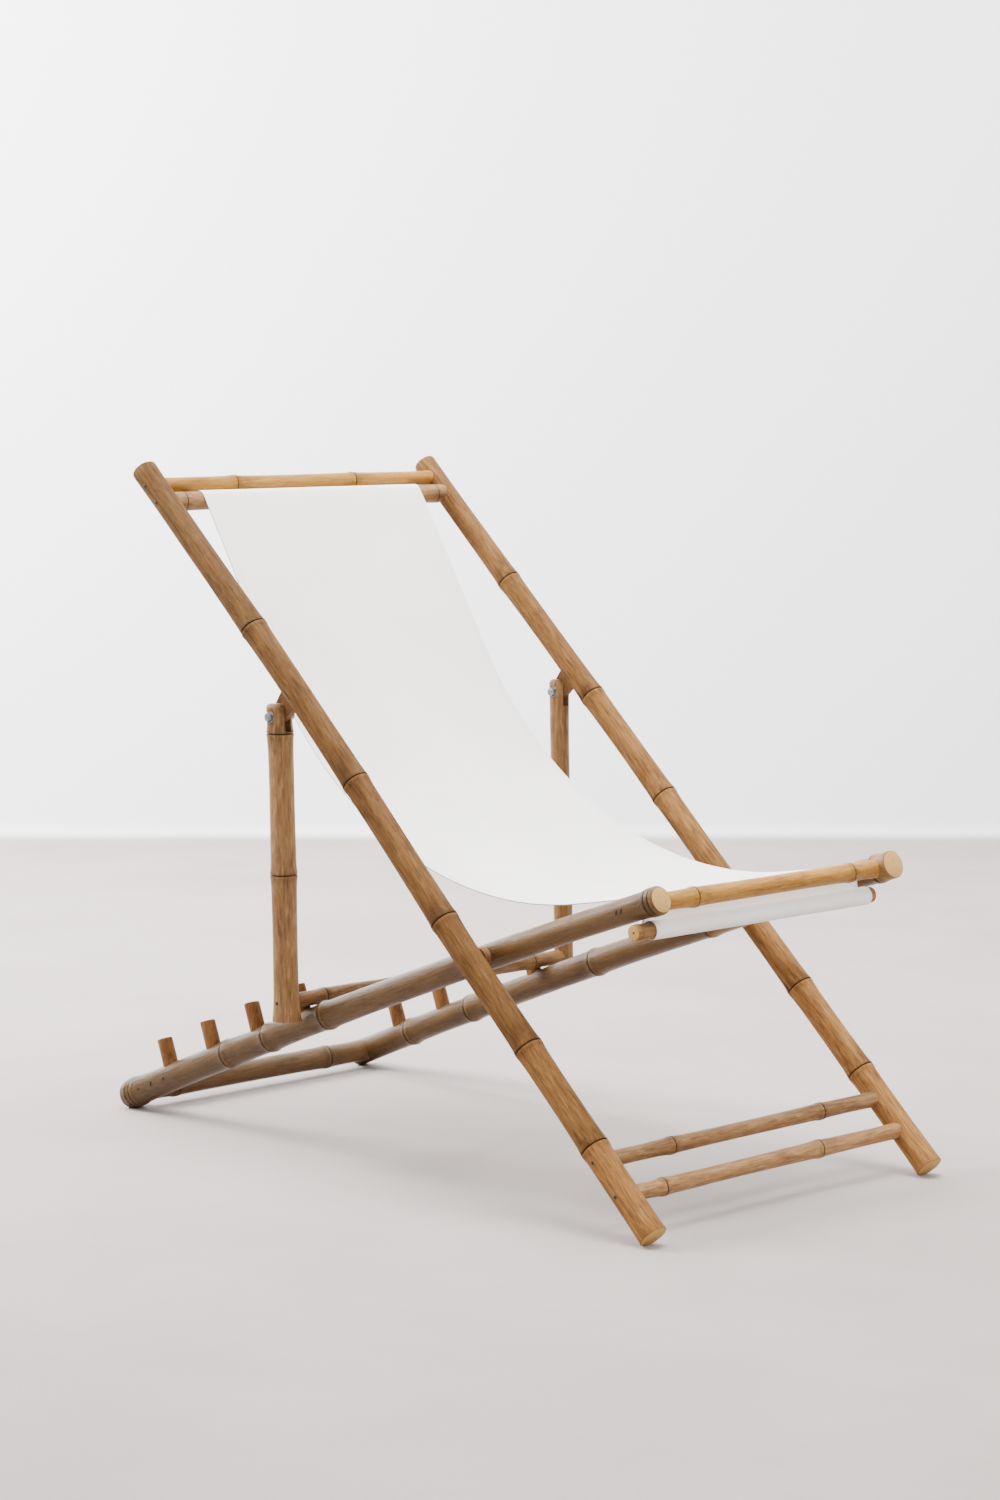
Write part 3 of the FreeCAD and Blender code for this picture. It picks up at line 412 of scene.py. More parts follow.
def on_seat(along, above=0.0, x=0.0, slope=None):
    """Point at a distance back along the seat poles from the pivot, and above their axes."""
    if slope is None:
        slope = seat_slope()
    rise = seat_rise(along) + above
    return Vector((
        x,
        PIVOT.y + along * math.cos(slope) + rise * math.sin(slope),
        PIVOT.z - along * math.sin(slope) + rise * math.cos(slope),
    ))


def seat_radius(side, along):
    culms = sizes("culms")
    front = getattr(culms, f"seat_{side}_front")
    rear = getattr(culms, f"seat_{side}_rear")
    return front + (rear - front) * (along + culms.seat_front) / (culms.seat_front + culms.seat_rear)


def long_radius(side, along):
    culms = sizes("culms")
    top = getattr(culms, f"long_top_{side}")
    return culms.long_foot + (top - culms.long_foot) * (along + culms.long_lower) / (
        culms.long_lower + culms.long_upper
    )


def culm_frame(start, end):
    """Matrix from a culm's own axes to the object's.

    Local Z runs from start to end, and local Y points away from the floor."""
    along = (end - start).normalized()
    side = Vector((1, 0, 0)) if abs(along.x) < 0.5 else Vector((0, 1, 0))
    up = along.cross(side).normalized()
    if up.z < 0:
        side, up = -side, -up
    across = up.cross(along)
    turn = Matrix((across, up, along)).transposed().to_4x4()
    return Matrix.Translation(start) @ turn


# Mesh helpers

def new_object(name, bm, material):
    """Makes a finished piece from a bmesh that is already in place."""
    mesh = bpy.data.meshes.new(name)
    bm.to_mesh(mesh)
    bm.free()
    return object_of(name, mesh, material)


def object_of(name, mesh, material):
    piece = bpy.data.objects.new(name, mesh)
    bpy.context.scene.collection.objects.link(piece)
    mesh.materials.clear()
    mesh.materials.append(bpy.data.materials[material])
    mesh.shade_smooth()
    mesh.set_sharp_from_angle(angle=SHARP)
    return piece


def turned(outline, steps=AROUND):
    """Solid turned about Z from (radius, height) points that start and end on the axis."""
    bm = bmesh.new()
    points = [bm.verts.new((radius, 0.0, height)) for radius, height in outline]
    edges = [bm.edges.new(pair) for pair in zip(points, points[1:])]
    bmesh.ops.spin(
        bm, geom=points + edges, cent=(0, 0, 0), axis=(0, 0, 1), angle=math.tau, steps=steps,
        use_merge=True,
    )
    bmesh.ops.remove_doubles(bm, verts=bm.verts, dist=TOUCH)
    bmesh.ops.recalc_face_normals(bm, faces=bm.faces)
    return bm


def placed(bm, matrix):
    bmesh.ops.transform(bm, matrix=matrix, verts=bm.verts)
    return bm


def merged(parts):
    """One bmesh from several, which are used up."""
    whole = bmesh.new()
    for part in parts:
        mesh = bpy.data.meshes.new("part")
        part.to_mesh(mesh)
        part.free()
        whole.from_mesh(mesh)
        bpy.data.meshes.remove(mesh)
    return whole


def carve(mesh, cutters):
    """The mesh less each cutter, through Boolean modifiers that are applied."""
    if not cutters:
        return mesh
    host = bpy.data.objects.new("host", mesh)
    bpy.context.scene.collection.objects.link(host)
    tools = []
    for cutter in cutters:
        tool_mesh = bpy.data.meshes.new("tool")
        cutter.to_mesh(tool_mesh)
        cutter.free()
        tool = bpy.data.objects.new("tool", tool_mesh)
        bpy.context.scene.collection.objects.link(tool)
        tools.append(tool)
        modifier = host.modifiers.new("carve", "BOOLEAN")
        modifier.operation = "DIFFERENCE"
        modifier.solver = "EXACT"
        modifier.object = tool
    depsgraph = bpy.context.evaluated_depsgraph_get()
    result = bpy.data.meshes.new_from_object(host.evaluated_get(depsgraph))
    for obj in tools + [host]:
        old = obj.data
        bpy.data.objects.remove(obj)
        bpy.data.meshes.remove(old)
    return result


def disc_cutter(radius, low, high, place):
    """Cylinder along X from low to high, about a point of the side plane."""
    bm = bmesh.new()
    bmesh.ops.create_cone(
        bm, cap_ends=True, segments=AROUND, radius1=radius, radius2=radius, depth=high - low
    )
    turn = Matrix.Rotation(math.pi / 2, 4, "Y")
    return placed(bm, Matrix.Translation(((low + high) / 2, place.y, place.z)) @ turn)


# Culms

def ring_swell(height, rings, culms):
    """How much a culm swells at a height along it, from its nearest ring."""
    swells = [0.0]
    for ring in rings:
        spot = (height - ring) / culms.ring_length
        for (low, a), (high, b) in zip(RING_FORM, RING_FORM[1:]):
            if low <= spot <= high:
                swells.append(culms.ring_height * (a + (b - a) * (spot - low) / (high - low)))
    return min(swells) if min(swells) < 0 else max(swells)


def waist_at(height, rings, span, culms):
    """How much thinner a culm is at a height along it, midway between two rings."""
    marks = [0.0, *rings, span]
    low = max(mark for mark in marks if mark <= height)
    high = min((mark for mark in marks if mark > height), default=span)
    if high - low < WAIST_SPAN:
        return 0.0
    return culms.waist * math.sin(math.pi * (height - low) / (high - low)) ** WAIST_FORM


def culm_stations(span, rings, scars, culms):
    """Heights at which a culm's outline has a point."""
    heights = {round(ring + spot * culms.ring_length, 6) for ring in rings for spot, _ in RING_FORM}
    count = max(2, round(span / STATION))
    heights |= {round(span * step / count, 6) for step in range(1, count)}
    heights |= {
        round(scar * span + culms.scar_length * step / SCAR_STEPS, 6)
        for scar, _ in scars for step in range(1, SCAR_STEPS + 2)
    }
    edge = culms.edge_round
    kept = []
    for height in sorted(h for h in heights if 2 * edge < h < span - 2 * edge):
        if not kept or height - kept[-1] > CLOSEST:
            kept.append(height)
    return kept


def scar_at(vert, radius, span, scars, culms):
    """Depth of a branch scar at a point of a culm, from 0 to 1: deepest just above its ring."""
    deepest = 0.0
    for ring, angle in scars:
        rise = (vert.z - ring * span) / culms.scar_length
        if not SCAR_START < rise < 1.0:
            continue
        turn = math.atan2(vert.y, vert.x) - math.radians(angle)
        aside = abs(math.atan2(math.sin(turn), math.cos(turn))) * radius
        width = culms.scar_width * (1.0 - SCAR_TAPER * rise)
        if aside < width:
            deepest = max(deepest, math.cos(math.pi / 2 * aside / width) * (1.0 - rise) ** SCAR_FADE)
    return deepest


def culm(
    name, start, end, first_radius, last_radius, bow=None, last_round=0.0, ring_scale=1.0, flare=0.0,
):
    """A bamboo culm as a mesh in place, with its frame, its rings and its length.

    bow gives the sideways rise of the axis at a distance from the first end."""
    culms = sizes("culms")
    span = (end - start).length
    rings = [spot * span for spot in RINGS[name]]
    scars = SCARS.get(name, ())
    edge = culms.edge_round

    def radius_at(height):
        straight = first_radius + (last_radius - first_radius) * height / span
        wide = flare * math.exp(-((height / FLARE_REACH) ** 2))
        swell = ring_scale * ring_swell(height, rings, culms)
        return straight + wide + swell - waist_at(height, rings, span, culms)

    foot = first_radius + flare
    outline = [(0.0, 0.0), (foot - edge, 0.0), (foot - CORNER * edge, CORNER * edge), (foot, edge)]
    top_round = max(last_round, edge)
    for height in culm_stations(span, rings, scars, culms):
        if height < span - TOP_CLEAR * top_round:
            outline.append((radius_at(height), height))
    steps = 4 if last_round else 2
    for step in range(steps + 1):
        angle = math.pi / 2 * step / steps
        inset, drop = top_round * (1 - math.cos(angle)), top_round * (1 - math.sin(angle))
        outline.append((last_radius - inset, span - drop))
    outline.append((0.0, span))
    bm = turned(outline)
    by_length, by_letters, wrap, fixed = LUMP_SEEDS
    seed = Vector((by_length * len(name), by_letters * sum(map(ord, name)) % wrap, fixed))
    for vert in bm.verts:
        along = vert.co.z
        around = Vector((vert.co.x, vert.co.y, 0.0))
        if around.length > TOUCH:
            lump = noise.noise(
                Vector((around.x * LUMPS_ROUND, around.y * LUMPS_ROUND, along * LUMPS_ALONG)) + seed
            )
            scar = scar_at(vert.co, first_radius, span, scars, culms)
            vert.co.xy += around.normalized().xy * (lump * culms.wobble - scar * culms.scar_depth)
        fade = min(1.0, along / STRAY_START, (span - along) / STRAY_START)
        wave = along * STRAY_WAVES
        vert.co.x += noise.noise(Vector((wave, 0.0, 0.0)) + seed) * culms.stray * fade
        vert.co.y += noise.noise(Vector((0.0, wave, 0.0)) + seed) * culms.stray * fade
        if bow:
            vert.co.y += bow(along)
    matrix = culm_frame(start, end)
    placed(bm, matrix)
    mesh = bpy.data.meshes.new(name)
    bm.to_mesh(mesh)
    bm.free()
    return mesh, matrix, rings, span


def mark_culm(mesh, matrix, rings, span, seed, bow=None, scars=(), shades=MIDDLE_TONE):
    """Stores what the bamboo materials follow: the place in the culm, its internode's tone, the nearest
    ring, the sawn ends and the branch scars."""
    culms = sizes("culms")
    inverse = matrix.inverted()
    by_order, by_seed = TONE_SEEDS
    places, gaps, past, sawn, tones, scarred = [], [], [], [], [], []
    for vert in mesh.vertices:
        local = inverse @ vert.co
        along = local.z
        if bow:
            local.y -= bow(along)
        gaps.append(min([abs(along - ring) for ring in rings], default=FAR))
        past.append(min([along - ring for ring in rings if along >= ring], default=FAR))
        sawn.append(1.0 if along < SAWN_DEPTH or along > span - SAWN_DEPTH else 0.0)
        order = sum(1 for ring in rings if along >= ring)
        tone = shades[min(order, len(shades) - 1)]
        tones.append(tone + TONE_SPREAD * math.sin(by_order * (order + 1) + by_seed * seed))
        radius = math.hypot(local.x, local.y)
        scarred.append(scar_at(local, radius, span, scars, culms))
        places += [local.x + seed, local.y, along + PLACE_SEED * seed]
    mesh.attributes.new("culm_place", "FLOAT_VECTOR", "POINT").data.foreach_set("vector", places)
    stored = {
        "ring_gap": gaps, "past_ring": past, "sawn_end": sawn, "internode_tone": tones,
        "branch_scar": scarred,
    }
    for name, values in stored.items():
        mesh.attributes.new(name, "FLOAT", "POINT").data.foreach_set("value", values)


def floor_cut(mesh):
    """Wears a foot down to the floor."""
    bm = bmesh.new()
    bm.from_mesh(mesh)
    geometry = bm.verts[:] + bm.edges[:] + bm.faces[:]
    cut = bmesh.ops.bisect_plane(
        bm, geom=geometry, dist=TOUCH, plane_co=(0, 0, 0), plane_no=(0, 0, 1), clear_inner=True
    )
    edges = [item for item in cut["geom_cut"] if isinstance(item, bmesh.types.BMEdge)]
    if edges:
        bmesh.ops.holes_fill(bm, edges=edges)
    bmesh.ops.recalc_face_normals(bm, faces=bm.faces)
    bm.to_mesh(mesh)
    bm.free()


def finish_culm(name, made, body, material, cutters=(), bow=None, stands=False):
    mesh, matrix, rings, span = made
    mesh = carve(mesh, list(cutters))
    if stands:
        floor_cut(mesh)
    by_letters, wrap = MARK_SEEDS
    seed = by_letters * (sum(map(ord, name)) % wrap)
    mark_culm(mesh, matrix, rings, span, seed, bow, SCARS.get(name, ()), TONES.get(name, MIDDLE_TONE))
    mesh.name = "culm_" + name
    piece = object_of("culm_" + name, mesh, material)
    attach(piece, body)
    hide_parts(name)


def side_pole(name, place, first, last, radii, rise, ring_scale=1.0):
    """A bowed pole of the side plane, as what culm() makes of it, with its bow."""
    base = rise(first)

    def bow(along):
        return rise(first + along) - base

    return culm(name, place(first), place(last), *radii, bow, ring_scale=ring_scale), bow


class RECLINER_OT_long_poles(bpy.types.Operator):
    """Builds the two long poles of the back frame"""

    bl_idname = "recliner.long_poles"
    bl_label = "Long Poles"

    def execute(self, context):
        culms, small = sizes("culms"), sizes("small")
        for side, sign in SIDES.items():
            name = f"long_pole_{side}"
            radii = (culms.long_foot, getattr(culms, f"long_top_{side}"))

            def place(along, x=sign * culms.long_spread):
                return on_long(along, x)

            def rise(along, spring=getattr(culms, f"long_spring_{side}")):
                up = min(1.0, max(0.0, along) / culms.long_upper)
                return spring * max(0.0, math.sin(math.pi * up)) ** SPRING_FORM

            made, bow = side_pole(name, place, -culms.long_lower, culms.long_upper, radii, rise)
            flat = culms.long_spread - long_radius(side, 0.0) + small.spot_depth
            low, high = sorted((sign * flat, sign * (flat - CUT_REACH)))
            spot = disc_cutter(small.spacer_radius + SPACER_FIT, low, high, PIVOT)
            finish_culm(
                name, made, "back_frame", "Peeled bamboo", [spot], bow, stands=True
            )
        return {"FINISHED"}


class RECLINER_OT_seat_poles(bpy.types.Operator):
    """Builds the two bowed seat poles"""

    bl_idname = "recliner.seat_poles"
    bl_label = "Seat Poles"

    def execute(self, context):
        culms, small = sizes("culms"), sizes("small")
        for side, sign in SIDES.items():
            name = f"seat_pole_{side}"
            radii = (getattr(culms, f"seat_{side}_front"), getattr(culms, f"seat_{side}_rear"))

            def place(along, x=sign * culms.seat_spread):
                return on_seat(along, x=x)

            made, bow = side_pole(
                name, place, -culms.seat_front, culms.seat_rear, radii, seat_rise, SEAT_RINGS
            )
            here = seat_radius(side, 0.0)
            cutters = []
            for way in (-1, 1):
                flat = culms.seat_spread + way * (here - small.spot_depth)
                low, high = sorted((sign * flat, sign * (flat + way * CUT_REACH)))
                cutters.append(disc_cutter(small.spacer_radius + SPACER_FIT, low, high, PIVOT))
            finish_culm(
                name, made, "seat_frame", "Smooth bamboo", cutters, bow, stands=True
            )
        return {"FINISHED"}


class RECLINER_OT_rails(bpy.types.Operator):
    """Builds the rails, the foot rungs and the crossbar"""

    bl_idname = "recliner.rails"
    bl_label = "Rails and Rungs"

    # Body, material and how tall the rings are.
    RAILS = {
        "top_rail": ("back_frame", "Yellow bamboo", 1.0),
        "upper_sling_rail": ("back_frame", "Thin bamboo", 0.3),
        "upper_foot_rung": ("back_frame", "Thin bamboo", 1.0),
        "lower_foot_rung": ("back_frame", "Thin bamboo", 1.0),
        "front_rail": ("seat_frame", "Yellow bamboo", 1.0),
        "front_sling_rail": ("seat_frame", "Thin bamboo", 0.3),
        "rear_rail": ("seat_frame", "Smooth bamboo", 1.0),
        "prop_crossbar": ("prop_frame", "Thin bamboo", 0.5),
    }

    def execute(self, context):
        for name, (body, material, ring_scale) in self.RAILS.items():
            low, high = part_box(name)
            middle = centre(name)
            radius = (high.z - low.z) / 2
            start = Vector((low.x, middle.y, middle.z))
            end = Vector((high.x, middle.y, middle.z))
            made = culm(name, start, end, radius, radius, ring_scale=ring_scale)
            finish_culm(name, made, body, material)
        return {"FINISHED"}


class RECLINER_OT_struts(bpy.types.Operator):
    """Builds the two prop struts with their forked tops"""

    bl_idname = "recliner.struts"
    bl_label = "Prop Struts"

    def execute(self, context):
        culms, small = sizes("culms"), sizes("small")
        bar = centre("prop_crossbar")
        way = (HINGE - bar).normalized()
        for side, sign in SIDES.items():
            name = f"prop_strut_{side}"
            radius = getattr(culms, f"strut_{side}")
            shift = Vector((sign * culms.long_spread, 0, 0))
            bottom = Vector((0, bar.y, bar.z)) + shift - way * culms.strut_tail
            top = Vector((0, HINGE.y, HINGE.z)) + shift + way * culms.strut_head
            flare = culms.strut_flare * (1.0 if side == "right" else LEFT_FLARE)
            made = culm(name, bottom, top, radius, radius, last_round=culms.strut_round, flare=flare)
            slot = bmesh.new()
            bmesh.ops.create_cube(slot, size=1.0)
            deep = culms.slot_depth + SLOT_REACH
            bmesh.ops.scale(slot, vec=(culms.slot_width, 4 * radius, deep), verts=slot.verts)
            bmesh.ops.translate(
                slot, vec=(0, 0, (top - bottom).length - culms.slot_depth + deep / 2), verts=slot.verts
            )
            cutters = [placed(slot, made[1])]
            for face in (-1, 1):
                flat = culms.long_spread + face * (radius - small.spot_depth)
                low, high = sorted((sign * flat, sign * (flat + face * CUT_REACH)))
                cutters.append(disc_cutter(small.washer_radius + WASHER_FIT, low, high, HINGE))
            finish_culm(name, made, "prop_frame", "Thin bamboo", cutters)
        return {"FINISHED"}


class RECLINER_OT_pegs(bpy.types.Operator):
    """Builds the recline pegs on both seat poles"""

    bl_idname = "recliner.pegs"
    bl_label = "Recline Pegs"

    # Shares of a peg's height where it starts to taper and has tapered, and its radius from there on.
    STRAIGHT = 0.4
    TAPERED = 0.75
    TOP = 0.99
    # Unevenness round a peg, how close its lumps lie, and how far its sawn top tilts.
    UNEVEN = 0.012
    LUMPS = 60
    TILT = 0.10
    # What sets one peg's lumps and grain apart from another's.
    LUMP_SEEDS = (5.1, 2.3, 0.4)
    GRAIN_TURN = 1.3

    def peg(self, order, sign):
        """A peg about its own +Z, from its hidden foot up."""
        small = sizes("small")
        tall = small.peg_depth + small.peg_proud
        bevel = small.peg_bevel
        radius = small.peg_radius
        top = radius * self.TOP
        outline = [(0, 0), (radius, 0), (radius, tall * self.STRAIGHT), (top, tall * self.TAPERED)]
        outline += [(top, tall - bevel), (radius - CORNER * bevel, tall - CORNER * bevel)]
        outline += [(radius - bevel, tall), (0, tall)]
        peg = turned(outline, AROUND_SMALL)
        by_order, by_side, fixed = self.LUMP_SEEDS
        seed = Vector((order * by_order, sign * by_side, fixed))
        for vert in peg.verts:
            vert.co.xy *= 1 + self.UNEVEN * noise.noise(vert.co * self.LUMPS + seed)
            if vert.co.z > tall - 2 * bevel:
                vert.co.z += vert.co.x * self.TILT * noise.noise(seed)
        return peg

    def execute(self, context):
        culms, small = sizes("culms"), sizes("small")
        slope = seat_slope()
        for side, sign in SIDES.items():
            pegs = []
            for order in range(small.peg_count):
                along = small.peg_first + order * small.peg_pitch
                above = seat_radius(side, along) - small.peg_depth
                foot = on_seat(along, above, sign * culms.seat_spread)
                grain_turn = Matrix.Rotation(self.GRAIN_TURN * order + sign, 4, "Z")
                turn = Matrix.Rotation(-slope, 4, "X") @ grain_turn
                pegs.append(placed(self.peg(order, sign), Matrix.Translation(foot) @ turn))
            piece = new_object(f"pegs_{side}", merged(pegs), "Peg wood")
            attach(piece, "seat_frame")
            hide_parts(f"recline_pegs_{side}")
        return {"FINISHED"}


class RECLINER_OT_fasteners(bpy.types.Operator):
    """Builds the nails, the pivot bolts with their spacers and the hinge bolts with nuts and washers"""

    bl_idname = "recliner.fasteners"
    bl_label = "Fasteners"

    # A nail's shank, neck and rim below the pole's surface, its shank's share of its head's radius,
    # and its head as shares of its own sizes.
    SHANK = 0.006
    NECK = 0.001
    RIM = 0.0006
    SHANK_SHARE = 0.5
    HEAD_FORM = ((1.0, 0.4), (0.75, 0.85), (0.0, 1.0))
    # Form of the slit that a driven-in nail leaves.
    SLIT = {"tall": 1.6, "narrow": 0.45, "tilt": 0.12}
    # Where the tacks start from a seat pole's rear foot, how tall the three are and how narrow.
    TACK_FIRST = 0.047
    TACKS = (0.9, 1.5, 0.9)
    TACK_NARROW = 0.7
    # Rounds of a hexagon, a spacer, a washer and a bolt's tip, and a hexagon's turn.
    HEX_BEVEL = 0.0005
    HEX_TURN = 0.4
    SPACER_EDGE = 0.001
    WASHER_EDGE = 0.0003
    TIP_EDGE = 0.0006
    # A pivot bolt's shank in the pole, its head's rim and the steps of the head's dome.
    DOME_SHANK = 0.02
    DOME_RIM = 0.0004
    DOME_STEPS = 6
    # Threads at a hinge bolt's end.
    THREADS = 6
    THREAD_PITCH = 0.0008
    THREAD_DEPTH = 0.00035

    def nail(self, x, sign, place, tall=1.0, narrow=1.0, tilt=0.0):
        """Nail head on a pole's outer side, or the slit that a driven-in nail leaves."""
        small = sizes("small")
        head, proud = small.nail_head, small.nail_proud
        thin = head * self.SHANK_SHARE
        outline = [(0, -self.SHANK), (thin, -self.SHANK), (thin, -self.NECK), (head, -self.RIM)]
        outline += [(head * wide, proud * high) for wide, high in self.HEAD_FORM]
        shape = Matrix.Rotation(tilt, 4, "X") @ Matrix.Diagonal((1.0, narrow, tall, 1.0))
        turn = Matrix.Rotation(sign * math.pi / 2, 4, "Y")
        where = Matrix.Translation((x, place.y, place.z))
        return placed(turned(outline, AROUND_NAIL), where @ shape @ turn)

    def hexagon(self, near, sign):
        """Hexagonal head or nut from near outwards along the side's own direction."""
        small = sizes("small")
        bm = bmesh.new()
        bmesh.ops.create_cone(
            bm, cap_ends=True, segments=6, radius1=small.head_radius, radius2=small.head_radius,
            depth=small.head_height,
        )
        rim = [edge for edge in bm.edges if abs(edge.verts[0].co.z - edge.verts[1].co.z) < TOUCH]
        bmesh.ops.bevel(
            bm, geom=rim, offset=self.HEX_BEVEL, segments=2, profile=0.5, affect="EDGES", material=-1
        )
        middle = sign * (near + small.head_height / 2)
        turn = Matrix.Rotation(math.pi / 2, 4, "Y") @ Matrix.Rotation(self.HEX_TURN, 4, "Z")
        return placed(bm, Matrix.Translation((middle, HINGE.y, HINGE.z)) @ turn)

    def stack(self, outline, near, sign, place):
        """A turned piece from near outwards, about an axis along X."""
        turn = Matrix.Rotation(sign * math.pi / 2, 4, "Y")
        where = Matrix.Translation((sign * near, place.y, place.z))
        return placed(turned(outline, AROUND_SMALL), where @ turn)

    def nails(self):
        """Nails through the poles and struts into what they hold, three pieces in all."""
        culms, small = sizes("culms"), sizes("small")
        back, seat, prop = [], [], []
        twins = (-small.twin_pitch / 2, small.twin_pitch / 2)
        for side, sign in SIDES.items():
            for node in ("top_rail", "upper_sling_rail", "upper_foot_rung", "lower_foot_rung"):
                place = centre(node)
                along = (place - PIVOT).dot(long_way())
                x = sign * (culms.long_spread + long_radius(side, along))
                back.append(self.nail(x, sign, place))
            for node in ("front_rail", "front_sling_rail", "rear_rail"):
                for shift in twins if node == "front_sling_rail" else (0.0,):
                    along = (centre(node) - PIVOT).dot(seat_way()) + shift
                    x = sign * (culms.seat_spread + seat_radius(side, along))
                    seat.append(self.nail(x, sign, on_seat(along), **self.SLIT))
            for order, tall in enumerate(self.TACKS):
                along = culms.seat_rear - self.TACK_FIRST - order * small.tack_pitch
                x = sign * (culms.seat_spread + seat_radius(side, along))
                seat.append(self.nail(x, sign, on_seat(along), tall, self.TACK_NARROW))
            radius = getattr(culms, f"strut_{side}")
            prop.append(self.nail(sign * (culms.long_spread + radius), sign, centre("prop_crossbar")))
        for name, parts, body in (
            ("nails_back", back, "back_frame"),
            ("nails_seat", seat, "seat_frame"),
            ("nails_prop", prop, "prop_frame"),
        ):
            piece = new_object(name, merged(parts), "Iron")
            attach(piece, body)

    def dome(self):
        """Outline of a pivot bolt's shank and domed head."""
        small = sizes("small")
        bolt, radius = small.bolt_radius, small.dome_radius
        outline = [(0, self.DOME_SHANK), (bolt, self.DOME_SHANK), (bolt, 0), (radius, 0)]
        for step in range(1, self.DOME_STEPS + 1):
            angle = math.pi / 2 * step / self.DOME_STEPS
            swell = (small.dome_height - self.DOME_RIM) * math.sin(angle)
            outline.append((radius * math.cos(angle), -self.DOME_RIM - swell))
        outline[-1] = (0, outline[-1][1])
        return outline

    def spacer(self, gap):
        """Outline of a spacer that fills a gap."""
        small = sizes("small")
        bore, wide, edge = small.bolt_radius + BORE_FIT, small.spacer_radius, self.SPACER_EDGE
        outline = [(bore, 0), (wide - edge, 0), (wide, edge), (wide, gap - edge), (wide - edge, gap)]
        return outline + [(bore, gap), (bore, 0)]

    def washer(self):
        """Outline of a washer."""
        small = sizes("small")
        bore, wide, thick = small.bolt_radius + BORE_FIT, small.washer_radius, small.washer_thickness
        edge = self.WASHER_EDGE
        outline = [(bore, 0), (wide - edge, 0), (wide, edge), (wide, thick - edge)]
        return outline + [(wide - edge, thick), (bore, thick), (bore, 0)]

    def shank(self, run):
        """Outline of a hinge bolt's shank, from its threaded tip."""
        radius, pitch = sizes("small").bolt_radius, self.THREAD_PITCH
        outline = [(0, 0), (radius - self.TIP_EDGE, 0), (radius, self.TIP_EDGE)]
        for turn in range(self.THREADS):
            height = pitch + turn * pitch
            outline += [(radius, height), (radius - self.THREAD_DEPTH, height + pitch / 2)]
        return outline + [(radius, pitch + self.THREADS * pitch), (radius, run), (0, run)]

    def execute(self, context):
        culms, small = sizes("culms"), sizes("small")
        self.nails()
        domes, spacers, bolts, nuts, washers = [], [], [], [], []
        thick = small.washer_thickness
        for side, sign in SIDES.items():
            here = seat_radius(side, 0.0)
            inner = culms.seat_spread - here + small.spot_depth - END_GAP
            outer = culms.seat_spread + here - small.spot_depth + END_GAP
            long_flat = culms.long_spread - long_radius(side, 0.0) + small.spot_depth
            domes.append(self.stack(self.dome(), inner, sign, PIVOT))
            spacers.append(self.stack(self.spacer(long_flat - outer), outer, sign, PIVOT))
            radius = getattr(culms, f"strut_{side}")
            near = culms.long_spread - radius + small.spot_depth
            far = culms.long_spread + radius - small.spot_depth
            for low in (near - thick, far):
                washers.append(self.stack(self.washer(), low, sign, HINGE))
            bolts.append(self.hexagon(far + thick, sign))
            nuts.append(self.hexagon(near - thick - small.head_height, sign))
            tip = near - thick - small.head_height - small.thread_end
            bolts.append(self.stack(self.shank(far + thick - tip), tip, sign, HINGE))
        # What each piece is made of, its body, its looks and the node that it replaces, if any.
        for name, parts, body, material, slot, node in (
            ("pivot_bolt_heads", domes, "back_frame", "Steel", "steel", "pivot_bolts"),
            ("pivot_spacer_rings", spacers, "back_frame", "Spacer wood", "spacer_wood", "pivot_spacers"),
            ("hinge_bolts", bolts, "prop_frame", "Steel", "steel", "prop_hinge_bolts"),
            ("hinge_nuts", nuts, "prop_frame", "Steel", "steel", "prop_hinge_nuts"),
            ("hinge_washers", washers, "prop_frame", "Steel", "steel", None),
        ):
            bm = merged(parts)
            bmesh.ops.remove_doubles(bm, verts=bm.verts, dist=TOUCH)
            bmesh.ops.recalc_face_normals(bm, faces=bm.faces)
            piece = new_object(name, bm, material)
            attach(piece, body)
            if node:
                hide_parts(node)
        return {"FINISHED"}


